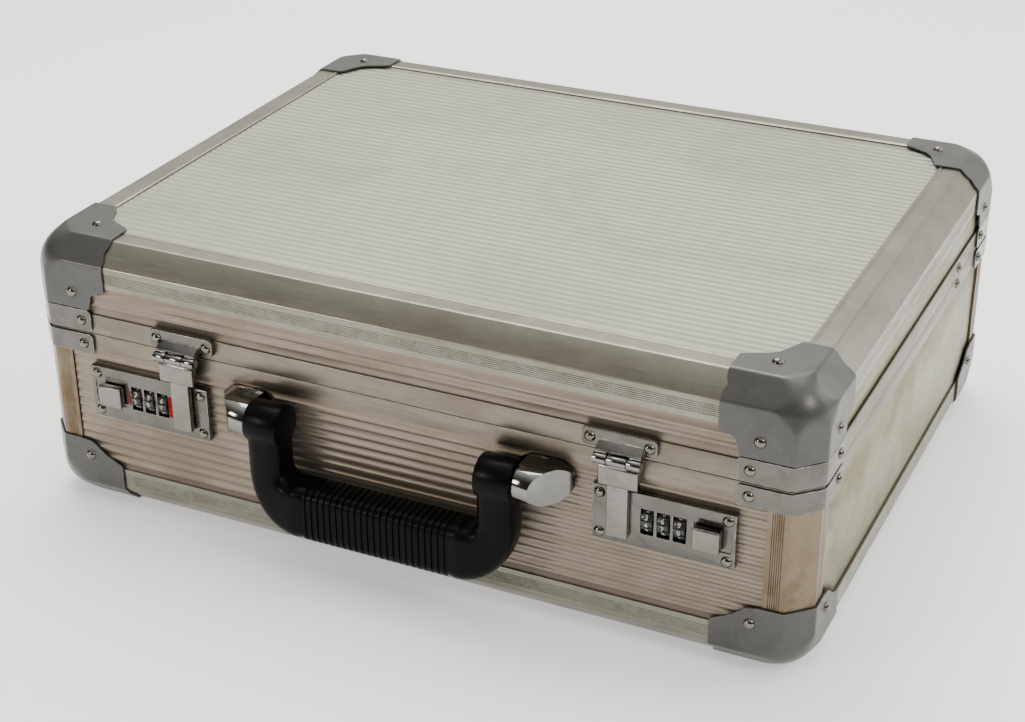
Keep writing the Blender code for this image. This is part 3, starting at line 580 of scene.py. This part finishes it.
# the wall sheets' lower and upper ends, and their distance from the sides
wallBands = {"base": (bottom + flange, seam - 0.0107, 0.0239),
             "lid": (seam + 0.0118, top - flange, 0.0128)}
dialSpare = 0.0025


def ribProfile(length, look):
    # (along, rise) of beads across a sheet, centred
    count = int((length - look["land"]) / look["pitch"])
    start = (length - (count - 1) * look["pitch"]) / 2
    half = look["bead"] / 2
    points = [(0.0, 0.0)]
    for index in range(count):
        centre = start + index * look["pitch"]
        for share, rise in beadShape:
            points.append((centre + share * half, rise * look["rise"]))
    return points + [(length, 0.0)]


def ribbedSheet(length, look, across):
    # sheet in its own plane: X across the case, Y along the profile, Z its rise
    outline = [(0, a, b + look["sheet"]) for a, b in ribProfile(length, look)]
    return drawn(outline + [(0, length, 0), (0, 0, 0)], (across[0], 0, 0), (across[1], 0, 0))


def lockOpening(name):
    # where the dials reach through the board, hidden under the lock plate
    boxes = [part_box(f"dial_{name}_{index}") for index in (1, 2, 3)]
    return box(*[(min(low[axis] for low, _ in boxes) - dialSpare,
                  max(high[axis] for _, high in boxes) + dialSpare) for axis in range(3)])


for name, body, level in (("lidTopRibs", "lid", 1), ("baseFloorRibs", "base", -1)):
    inset = flange + hairline
    sheet = ribbedSheet(back - front - 2 * inset, ribs, (left + inset, right - inset))
    face = (top if level > 0 else bottom) - level * (boardFace - ribs["stand"])
    turn = Matrix.Translation((0, front + inset, face)) @ Matrix.Diagonal((1, 1, level, 1))
    piece(name, mapped(sheet, turn), "panelTop", body, angle=60)

for prefix, (low, high, inset) in wallBands.items():
    for name, end in (("Front", -1), ("Back", 1)):
        length = high - low - 2 * hairline
        sheet = ribbedSheet(length, wallRibs, (left + inset, right - inset))
        face = middleY + end * (halfDepth - boardFace + wallRibs["stand"])
        turn = Matrix.Translation((0, face, low + hairline)) @ Matrix(
            ((1, 0, 0, 0), (0, 0, end, 0), (0, 1, 0, 0), (0, 0, 0, 1)))
        mapped(sheet, turn)
        if prefix + name == "baseFront":
            sheet = byBoolean(sheet, [lockOpening("left"), lockOpening("right")], "DIFFERENCE")
        # front and back sheets take the darker copy of the panel aluminium: painted shade
        piece(prefix + "Ribs" + name, sheet, "panelFrontShaded", prefix, angle=60)
print("ribbed sheets made")


# Bent edges and corner posts with their fine grooves
edgeLook = {"wall": 0.0012, "chamfer": 0.0117, "flange": 0.0125, "grooveStart": 0.0150, "grooveCount": 6,
            "groovePitch": 0.0011, "grooveWidth": 0.0005, "grooveDepth": 0.0003, "beadStart": 0.0212,
            "beadRise": 0.00028, "lead": 0.0022, "soft": 0.0007}


def grooved(look):
    # (along, depth) points of fine grooves
    width, points = look["grooveWidth"], []
    for index in range(look["grooveCount"]):
        at = look["grooveStart"] + index * look["groovePitch"]
        points += [(at, 0.0), (at + width / 2, look["grooveDepth"]), (at + width, 0.0)]
    return points


def fold(look):
    # reach, outer points of the bend and inner points of the sheet, from the wall to the flange
    chamfer, wall = look["chamfer"], look["wall"]
    near, bend = chamfer + look["lead"], chamfer + wall * (math.sqrt(2) - 1)
    reach = chamfer + look["flange"]
    turn = softened([(0.0, near), (0.0, chamfer), (chamfer, 0.0), (near, 0.0)], look["soft"])
    return reach, turn, [(reach, wall), (bend, wall), (wall, bend), (wall, reach)]


def edgeOutline(look):
    reach, turn, inner = fold(look)
    side = [(0.0, reach)] + [(depth, along) for along, depth in reversed(grooved(look))]
    bead = look["beadStart"]
    over = [(bead, 0.0), (bead + 0.0004, look["grooveDepth"]), (bead + 0.0008, 0.0),
            (bead + 0.0013, -look["beadRise"]), (bead + 0.0021, -look["beadRise"]), (reach, 0.0002)]
    return side + turn + over + inner


outline = edgeOutline(edgeLook)
for kind, level in (("lid", 1), ("base", -1)):
    for name, side, end in (("front", -1, -1), ("back", -1, 1), ("left", -1, -1), ("right", 1, -1)):
        node = f"{kind}_edge_{name}"
        low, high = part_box(node)
        if name in ("front", "back"):
            shape = drawn([(0, a, b) for a, b in outline], (low.x - left, 0, 0), (high.x - left, 0, 0))
        else:
            shape = drawn([(a, 0, b) for a, b in outline], (0, low.y - front, 0), (0, high.y - front, 0))
        piece(kind + "Edge" + name.title(), mapped(shape, cornerPlace(side, end, level)), "extrusion", kind,
              [node], 30)

postLook = {**edgeLook, "chamfer": 0.0121, "flange": 0.0116, "lead": 0.002}


def postOutline(look):
    reach, turn, inner = fold(look)
    half = [(reach, 0.0)] + grooved(look)[::-1]
    return half + turn[::-1] + [(b, a) for a, b in reversed(half)] + inner[::-1]


for name, side, end in corners:
    node = f"base_post_{name}"
    low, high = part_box(node)
    shape = drawn([(a, b, 0) for a, b in postOutline(postLook)], (0, 0, low.z - bottom),
                  (0, 0, high.z - bottom))
    piece("basePost_" + name, mapped(shape, cornerPlace(side, end, -1)), "post", "base", [node],
          30)
print("edges and posts made")


# Pressed corner pieces: three wings over a chamfered corner with a rounded tip, softly creased
cornerLook = {"chamfer": 0.0117, "postChamfer": 0.0121, "round": 0.020, "tipLeast": 0.27,
              "gap": 0.0003, "sheet": 0.001, "soft": 0.0008, "cuts": 62, "span": 0.0535,
              "wing": 0.0505, "wingDepth": 0.0263, "notch": 0.0365, "notchChamfer": 0.0035,
              "bend": 0.0012, "hub": 0.034, "start": -0.004, "crowding": 1.15, "crease": 0.35}
cornerShoulders = {"base": [(0.040, 0.0313), (0.0315, 0.0382), (0.024, 0.0394)],
                   "lid": [(0.0415, 0.0295), (0.0395, 0.0386)]}


def smoothMost(values, soft):
    most = max(values)
    return most + soft * math.log(sum(math.exp((value - most) / soft) for value in values))


def cornerField(point, offset, look):
    # below zero inside the corner's outer form
    u, v, w = point
    across, post = look["chamfer"] / math.sqrt(2), look["postChamfer"] / math.sqrt(2)
    root = math.sqrt(0.5)
    planes = [-u - offset, -v - offset, -w - offset]
    slopes = [(-v - w) * root - offset + across, (-u - w) * root - offset + across,
              (-u - v) * root - offset + post]
    soft = look["soft"] * look["crease"]
    # the tip is part of a sphere; its facings stop short of those of the walls
    tip = look["round"]
    reach = Vector((tip - u, tip - v, tip - w))
    facing = Vector([max(part, look["tipLeast"]) for part in reach.normalized()]).normalized()
    return smoothMost(planes + slopes + [facing.dot(reach) - tip - offset], soft)


def cornerSkin(offset, look):
    bm = bmesh.new()
    bmesh.ops.create_cube(bm, size=1.0)
    bmesh.ops.translate(bm, vec=(0.5, 0.5, 0.5), verts=bm.verts)
    far = [face for face in bm.faces if face.calc_center_median().dot(Vector((1, 1, 1))) > 1.5]
    bmesh.ops.delete(bm, geom=far, context="FACES")
    bmesh.ops.subdivide_edges(bm, edges=bm.edges[:], cuts=look["cuts"], use_grid_fill=True)
    span = look["span"] - look["start"]
    hub = Vector([look["hub"]] * 3)
    for vert in bm.verts:
        # finer steps near the corner than at the wings' ends
        start = Vector([look["start"] + span * value ** look["crowding"] for value in vert.co])
        low, high = 0.0, 1.0
        for _ in range(26):
            share = (low + high) / 2
            if cornerField(hub + (start - hub) * share, offset, look) > 0:
                high = share
            else:
                low = share
        vert.co = hub + (start - hub) * (low + high) / 2
    return bm


def cornerShell(kind, look):
    bm = cornerSkin(look["gap"] + look["sheet"], look)
    bmesh.ops.recalc_face_normals(bm, faces=bm.faces)
    facing = sum((face.normal for face in bm.faces), Vector())
    if facing.dot(Vector((1, 1, 1))) > 0:
        bmesh.ops.reverse_faces(bm, faces=bm.faces)
    bmesh.ops.solidify(bm, geom=bm.faces[:], thickness=look["sheet"])
    recalculated(bm)
    start, far = -0.006, 0.075
    wing, depth, notch = look["wing"], look["wingDepth"], look["notch"]
    inner = notch - look["notchChamfer"]
    flat = softened([(start, wing), (depth, wing), (inner, notch), (notch, inner), (wing, depth),
                     (wing, start)], look["bend"]) + [(start, start)]
    shoulder = cornerShoulders[kind]
    wall = softened([(wing, start), (wing, depth)] + shoulder + [(start, shoulder[-1][1])], look["bend"])
    wall += [(start, start)]
    prisms = [drawn([(a, b, 0) for a, b in flat], (0, 0, start), (0, 0, far)),
              drawn([(a, 0, b) for a, b in wall], (0, start, 0), (0, far, 0)),
              drawn([(0, a, b) for a, b in wall], (start, 0, 0), (far, 0, 0))]
    return byBoolean(bm, prisms, "INTERSECT")


for kind, level in (("lid", 1), ("base", -1)):
    shell = cornerShell(kind, cornerLook)
    for name, side, end in corners:
        shape = copied(shell, cornerPlace(side, end, level))
        piece(f"{kind}Corner_{name}", shape, "cornerPaint", kind, [f"{kind}_corner_{name}"],
              48)
    shell.free()
print("corner pieces pressed")


# Clips at the seam
clipLook = {"reach": 0.040, "round": 0.0022, "gap": 0.0003, "sheet": 0.001, "chamfer": 0.0121,
            "bend": 0.002, "soft": 0.0002}
for kind, level in (("lid", 1), ("base", -1)):
    for name, side, end in corners:
        node = f"{kind}_clip_{name}"
        low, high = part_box(node)
        reach, inset = clipLook["reach"], clipLook["gap"]
        turnAt = clipLook["chamfer"] - inset * (math.sqrt(2) - 1)
        path = softened([(reach, -inset), (turnAt, -inset), (-inset, turnAt), (-inset, reach)],
                        clipLook["bend"])
        bm = bmesh.new()
        verts = [bm.verts.new((a, b, 0)) for a, b in path]
        line = [bm.edges.new(pair) for pair in zip(verts, verts[1:])]
        made = bmesh.ops.extrude_edge_only(bm, edges=line)["geom"]
        raised = [part for part in made if isinstance(part, bmesh.types.BMVert)]
        bmesh.ops.translate(bm, vec=(0, 0, high.z - low.z), verts=raised)
        tips = [vert for vert in bm.verts if len(vert.link_edges) == 2]
        bevelled(bm, tips, clipLook["round"], 4, "VERTICES")
        bmesh.ops.recalc_face_normals(bm, faces=bm.faces)
        centre = Vector((0.03, 0.03, 0))
        if sum(face.normal.dot(face.calc_center_median() - centre) for face in bm.faces) < 0:
            bmesh.ops.reverse_faces(bm, faces=bm.faces)
        bmesh.ops.solidify(bm, geom=bm.faces[:], thickness=-clipLook["sheet"])
        shape = mapped(bm, Matrix.Translation((side * halfWidth, middleY + end * halfDepth, low.z))
                       @ Matrix.Diagonal((-side, -end, 1, 1)))
        clip = piece(f"{kind}Clip_{name}", shape, "nickel", kind, [node], 34)
        softEdges(clip, clipLook["soft"], 2, 50)
print("clips made")

# Rivets, one piece on each shell; places are measured from the case's corners and planes
rivets = {"corner": 0.0292, "cover": (0.031, 0.0255), "clip": 0.0335, "out": -0.0013, "plate": 0.0041,
          "plateFront": 0.003, "plateSpan": (0.0607, 0.0921), "keeperRise": 0.00805,
          "stayBack": 0.0817, "stayOut": 0.0001, "stayRise": {"lid": 0.0055, "base": -0.0045}}
for kind, level in (("lid", 1), ("base", -1)):
    bm = bmesh.new()
    for name, side, end in corners:
        place = cornerPlace(side, end, level)
        low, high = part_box(f"{kind}_clip_{name}")
        clipZ = abs((low.z + high.z) / 2 - (top if level > 0 else bottom))
        out = rivets["out"]
        spots = [((along, out, rise), (0, -1, 0)) for along, rise in (
            (rivets["corner"], rivets["corner"]), (rivets["clip"], clipZ))]
        spots += [((out, along, rise), (-1, 0, 0)) for (along, _, rise), _ in spots]
        if level > 0:
            spots.append(((*rivets["cover"], out), (0, 0, -1)))
        for spot, facing in spots:
            rivetInto(bm, place @ Vector(spot), place.to_3x3() @ Vector(facing))
    for side in (-1, 1):
        rivetInto(bm, (side * (halfWidth + rivets["stayOut"]), back - rivets["stayBack"],
                       seam + rivets["stayRise"][kind]), (side, 0, 0))
    for name in ("left", "right"):
        low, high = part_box(f"latch_keeper_{name}" if level > 0 else f"lock_plate_{name}")
        heights = [seam + rivets["keeperRise"]] if level > 0 else [
            rivets["plateSpan"][0] + rivets["plate"], rivets["plateSpan"][1] - rivets["plate"]]
        for x in (low.x + rivets["plate"], high.x - rivets["plate"]):
            for z in heights:
                rivetInto(bm, (x, front - rivets["plateFront"], z), (0, -1, 0))
    piece(kind + "Rivets", bm, "rivet", kind, angle=60)
print("rivets set")


# Latches: distances before the front plane, past the lock plate's inner end and from the seam
latch = {
    "plateFront": 0.003, "plateMiddle": 0.0764,
    "keeperHalf": (0.020, 0.00515), "keeperCorner": 0.0024, "keeperMiddle": 0.014, "keeperBack": 0.0003,
    "ramp": [(0.0015, 0.0033), (0.0076, 0.0033), (0.0080, 0.0046), (0.0025, 0.0080)],
    "barrelSpan": (0.0023, 0.0279), "barrelOut": 0.008, "barrel": 0.0029, "barrelGap": 0.0106,
    "foot": (0.0077, 0.0051), "footRise": 0.0038, "pin": 0.001, "bore": 0.0013, "knuckle": 0.0051,
    "tabSpan": (0.0047, 0.0262), "tabDepth": (0.0085, 0.0040), "tabDrop": (-0.0033, -0.0155),
    "stripSpan": (0.0091, 0.0206), "stripDepth": (0.0073, 0.0034), "stripDrop": (-0.0446, -0.0145),
    "neckHalf": 0.0050, "neckDepth": (0.0082, 0.0066), "neckDrop": (-0.0043, -0.0020),
    "capSpan": (0.0549, 0.0693), "capDepth": (0.008, 0.0028), "capHalf": 0.0064,
    "stemSpan": (0.0559, 0.0613), "stemDepth": (0.0030, -0.0008), "stemHalf": 0.004,
    "redBars": [(0.0209, 0.0259, 0.0062), (0.0510, 0.0520, 0.0046)], "redDepth": (0.0032, 0.0028),
    "dialRadius": 0.0068, "dialWidth": 0.0061, "dialSkin": 0.00012, "dialEdge": 0.0004,
    "dialFlat": [(-0.5, 0.0007), (-0.4, 0.0007), (-0.3, 0.0), (0.0, -0.00002), (0.3, 0.0), (0.4, 0.0007)],
    "numeral": 0.00405, "numeralRise": 0.00008, "numeralTurn": 0.22}


def ahead(amount):
    return front - amount


def digitShape(text):
    curve = bpy.data.curves.new("numeral", "FONT")
    curve.body = text
    curve.size = latch["numeral"]
    curve.align_x, curve.align_y = "CENTER", "CENTER"
    curve.extrude = latch["numeralRise"]
    curve.resolution_u = 2
    thing = objectOf("numeral", curve)
    bpy.context.view_layer.update()
    mesh = bpy.data.meshes.new_from_object(thing.evaluated_get(bpy.context.evaluated_depsgraph_get()))
    bm = bmesh.new()
    bm.from_mesh(mesh)
    bpy.data.objects.remove(thing, do_unlink=True)
    bpy.data.curves.remove(curve)
    bpy.data.meshes.remove(mesh)
    bmesh.ops.remove_doubles(bm, verts=bm.verts, dist=1e-6)
    return bm


digits = [digitShape(str(value)) for value in range(10)]


def dialShape(centre):
    # ten flats with a finger notch between each two
    outline = []
    for index in range(10):
        for share, depth in latch["dialFlat"]:
            angle = math.tau * (index + share) / 10
            radius = latch["dialRadius"] - latch["dialSkin"] - depth
            outline.append((0, radius * math.cos(angle), radius * math.sin(angle)))
    along = Vector((latch["dialWidth"] / 2, 0, 0))
    bm = drawn(outline, centre - along, centre + along)
    bevelled(bm, capRims(bm), latch["dialEdge"])
    return bm


facing = Matrix.Translation((0, latch["dialSkin"] - latch["dialRadius"], 0)) @ Matrix.Rotation(
    math.pi / 2, 4, "X")
for name, side in (("left", -1), ("right", 1)):
    for index in range(3):
        node = f"dial_{name}_{index + 1}"
        low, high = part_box(node)
        centre = (low + high) / 2
        piece(f"{node}_wheel", dialShape(centre), "dialPlastic", node, [node], 30)
        bm = bmesh.new()
        shown = (3 * index + (4 if side > 0 else 7)) % 10
        for step in range(10):
            turn = Matrix.Rotation(math.tau * (step + latch["numeralTurn"]) / 10, 4, "X")
            added(bm, copied(digits[(shown + step) % 10], Matrix.Translation(centre) @ turn @ facing))
        piece(f"{node}_numerals", bm, "numeral", node, angle=60)
for shape in digits:
    shape.free()
print("dials made")


def mirroredTo(side, bm):
    return mapped(bm, Matrix.Diagonal((side, 1, 1, 1)))


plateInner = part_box("lock_plate_right")[0].x
plateFront, barrelY = ahead(latch["plateFront"]), ahead(latch["barrelOut"])


def past(span):
    return tuple(plateInner + amount for amount in span)


def block(across, depth, height, edge, segments=2):
    return box(across, (ahead(depth[0]), ahead(depth[1])), height, edge, segments)


def around(middle, half):
    return middle - half, middle + half


def keeperPlate():
    # plate with rounded ends and a ramp
    middleX, middleZ = plateInner + latch["keeperMiddle"], seam + rivets["keeperRise"]
    outline = roundedOutline(*latch["keeperHalf"], latch["keeperCorner"], 5)
    plate = drawn([(middleX + a, 0, middleZ + b) for a, b in outline], (0, ahead(latch["keeperBack"]), 0),
                  (0, plateFront, 0))
    rims = [edge for edge in plate.edges if all(abs(vert.co.y - plateFront) < 1e-6 for vert in edge.verts)]
    bevelled(plate, rims, 0.0006, 3)
    recalculated(plate)
    low, high = past(latch["barrelSpan"])
    outline = [(0, ahead(a), seam + b) for a, b in softened(latch["ramp"], 0.0005)]
    ramp = drawn(outline, (low + 0.0006, 0, 0), (high - 0.0006, 0, 0))
    bevelled(ramp, capRims(ramp), 0.0003)
    return added(plate, recalculated(ramp))


def barrelRod(start, stop, radius=latch["barrel"], segments=40, edge=0.00025):
    return rod((start, barrelY, seam), (stop, barrelY, seam), radius, segments, edge)


def keeperBarrel():
    # two knuckles on feet, and the pin
    low, high = past(latch["barrelSpan"])
    split = (high - low - latch["barrelGap"]) / 2 - 0.0002
    bm = bmesh.new()
    for start, stop in ((low, low + split), (high - split, high)):
        added(bm, barrelRod(start, stop))
        added(bm, block((start + 0.0006, stop - 0.0006), latch["foot"], (seam, seam + latch["footRise"]),
                        0.0002))
    return added(bm, barrelRod(low + 0.0003, high - 0.0003, latch["pin"], 16, 0))


def haspTab(middleX):
    # wide tab, narrower strip and the neck to the knuckle
    (tabFront, tabBack), (high, low) = latch["tabDepth"], latch["tabDrop"]
    profile = softened([(tabBack, high), (tabFront - 0.0008, high), (tabFront, high - 0.0015),
                        (tabFront, low + 0.0012), (tabFront - 0.0012, low), (tabBack, low)], 0.0006)
    start, stop = past(latch["tabSpan"])
    bm = drawn([(0, ahead(a), seam + b) for a, b in profile], (start, 0, 0), (stop, 0, 0))
    bevelled(bm, capRims(bm), 0.0009, 3)
    recalculated(bm)
    added(bm, block(past(latch["stripSpan"]), latch["stripDepth"], [seam + z for z in latch["stripDrop"]],
                    0.0007, 3))
    return added(bm, block(around(middleX, latch["neckHalf"]), latch["neckDepth"],
                           [seam + z for z in latch["neckDrop"]], 0.0003))


for name, side in (("left", -1), ("right", 1)):
    keeper, hasp, button = f"latch_keeper_{name}", f"latch_hasp_{name}", f"latch_button_{name}"
    piece(f"keeperPlate_{name}", mirroredTo(side, keeperPlate()), "nickel", "lid", [keeper], 34)
    piece(f"keeperBarrel_{name}", mirroredTo(side, keeperBarrel()), "polished", "lid",
          angle=34)
    middleX = sum(past(latch["barrelSpan"])) / 2
    knuckle = byBoolean(barrelRod(*around(middleX, latch["knuckle"])),
                        [barrelRod(*around(middleX, 0.01), latch["bore"], 16, 0)], "DIFFERENCE")
    piece(f"haspKnuckle_{name}", mirroredTo(side, knuckle), "polished", f"hasp_{name}",
          angle=34)
    # the tab's lighter nickel is painted reflection
    piece(f"hasp_{name}_tab", mirroredTo(side, haspTab(middleX)), "nickelWithPaintedReflection", f"hasp_{name}", [hasp],
          34)
    # sliding button, softly crowned
    cap = block(past(latch["capSpan"]), latch["capDepth"],
                around(latch["plateMiddle"], latch["capHalf"]), 0.0011, 4)
    added(cap, block(past(latch["stemSpan"]), latch["stemDepth"],
                     around(latch["plateMiddle"], latch["stemHalf"]), 0.0003))
    # the cap's lighter nickel is painted reflection
    piece(f"button_{name}_cap", mirroredTo(side, cap), "nickelWithPaintedReflection", f"button_{name}", [button],
          34)

# red enamel beside the dials of the left lock
red = bmesh.new()
for start, stop, high in latch["redBars"]:
    added(red, block(past((start, stop)), latch["redDepth"],
                     around(latch["plateMiddle"], high), 0.00006))
piece("redEnamel_left", mirroredTo(-1, red), "redEnamel", "base")
print("latches made")


# Brackets: the carried body gets a round outer end, which makes its slanted face an oval
bracketLook = {"endShare": 0.98, "edge": 0.0007, "steps": 12, "spare": 0.01}
for name, side in (("left", -1), ("right", 1)):
    node = f"handle_bracket_{name}"
    low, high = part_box(node)
    halfHigh = (high.z - low.z) / 2
    length = high.x - low.x + bracketLook["spare"]
    middleX = (low.x + high.x) / 2 - side * bracketLook["spare"] / 2
    outline = roundedOutline(length / 2, halfHigh, halfHigh * bracketLook["endShare"], bracketLook["steps"])
    keep = drawn([(middleX + a, 0, (low.z + high.z) / 2 + b) for a, b in outline],
                 (0, low.y - bracketLook["spare"], 0), (0, high.y + bracketLook["spare"], 0))
    carried = bmesh.new()
    carried.from_mesh(frame["nodes"][node].data)
    carried.transform(frame["nodes"][node].matrix_world)
    shape = byBoolean(recalculated(carried), [keep], "INTERSECT")
    thing = piece(f"bracket_{name}", recalculated(shape), "polished", "base", [node], 30)
    softEdges(thing, bracketLook["edge"], 3, 35, True)
print("brackets made")


# Handle: two arms on round bosses and a ribbed grip
handle = {"half": 0.078, "arm": 0.0205, "armFront": 0.0245, "armBack": 0.0036, "gripFront": 0.0275,
          "gripBack": 0.0048, "gripLow": 0.0827, "gripHigh": 0.0505, "gripHalf": 0.0433, "bend": 0.020,
          "bendSteps": 10, "round": 0.0068, "ribs": 23, "ribDepth": 0.0011, "backShare": 0.8,
          "ribShape": [(0.06, 1.0), (0.22, 1.0), (0.34, 0.0), (0.72, 0.0), (0.84, 1.0)],
          "pivotOut": 0.0138, "boss": 0.0119, "bossEdge": 0.0016, "bore": (0.079, 0.068),
          "boreRadius": 0.0034}
pivotY = ahead(handle["pivotOut"])
pivotZ = (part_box("handle_bracket_right")[0].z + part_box("handle_bracket_right")[1].z) / 2


def handleStations(look):
    armX = look["half"] - look["arm"] / 2
    gripSize = look["gripLow"] - look["gripHigh"]
    gripZ = seam - (look["gripLow"] + look["gripHigh"]) / 2
    turnX, turnZ = armX - look["bend"], gripZ + look["bend"]
    # each: place, angle, size, share of the grip's form and depth of the groove
    stations = [((armX, z), 0.0, look["arm"], 0.0, 0.0) for z in (pivotZ, (pivotZ + turnZ) / 2)]
    for step in range(look["bendSteps"] + 1):
        share = step / look["bendSteps"]
        eased = share * share * (3 - 2 * share)
        angle = math.pi / 2 * share
        place = (turnX + look["bend"] * math.cos(angle), turnZ - look["bend"] * math.sin(angle))
        stations.append((place, angle, look["arm"] + (gripSize - look["arm"]) * eased, eased, 0.0))
    pitch = 2 * look["gripHalf"] / look["ribs"]
    for rib in range(look["ribs"]):
        edge = look["gripHalf"] - rib * pitch
        for share, depth in look["ribShape"]:
            stations.append(((edge - share * pitch, gripZ), math.pi / 2, gripSize, 1.0, depth))
    return stations


def handleLoops(look):
    stations = [(*station, 1) for station in handleStations(look)]
    # the far arm repeats the near one, but not the grip's grooves
    ends = [station for station in stations
            if station[3] < 1.0 or station[4] == 0.0 and station[0][0] > look["gripHalf"]]
    stations += [(*station[:-1], -1) for station in reversed(ends)]
    armDeep = look["armFront"] - look["armBack"]
    gripDeep = look["gripFront"] - look["gripBack"]
    loops = []
    for (x, z), angle, size, share, depth, side in stations:
        deep = armDeep + (gripDeep - armDeep) * share
        centre = ahead((look["armFront"] + look["armBack"]) / 2 * (1 - share)
                       + (look["gripFront"] + look["gripBack"]) / 2 * share)
        cut = depth * look["ribDepth"]
        across = Vector((math.cos(angle), 0, -math.sin(angle)))
        # grooves bite into the front, the top and the underside, not into the back
        points = []
        for a, b in roundedOutline(size / 2, deep / 2, look["round"], 5):
            back = max(0.0, min(1.0, 2 * b / deep))
            kept = 1 - cut * (1.0 - look["backShare"] * back) / math.hypot(a, b)
            point = Vector((x, centre + b * kept, z)) + across * a * kept
            points.append((side * point.x, point.y, point.z))
        loops.append(points)
    return loops


shape = sweep(handleLoops(handle))
for side in (-1, 1):
    outer, inner = side * handle["half"], side * (handle["half"] - handle["arm"])
    boss = rod((inner, pivotY, pivotZ), (outer, pivotY, pivotZ), handle["boss"], 48, handle["bossEdge"])
    shape = byBoolean(shape, [boss], "UNION")
bores = [rod(*[(side * x, pivotY, pivotZ) for x in handle["bore"]], handle["boreRadius"], 24)
         for side in (-1, 1)]
shape = byBoolean(shape, bores, "DIFFERENCE")
piece("handleGrip", recalculated(shape), "blackPlastic", "handle", ["handle"], 42)
print("handle made")


# Cloth lining of both shells, laid into the boards, with softened edges
for kind in ("base", "lid"):
    node = f"{kind}_lining"
    bm = bmesh.new()
    bm.from_mesh(frame["nodes"][node].data)
    bmesh.ops.remove_doubles(bm, verts=bm.verts, dist=1e-6)
    bmesh.ops.dissolve_limit(bm, angle_limit=math.radians(1), verts=bm.verts, edges=bm.edges)
    bmesh.ops.triangulate(bm, faces=[face for face in bm.faces if len(face.verts) > 4])
    lining = piece(f"{kind}LiningCloth", bm, "liningCloth", kind, [node], 50)
    softEdges(lining, 0.0006, 3, 30)
print("lining laid")
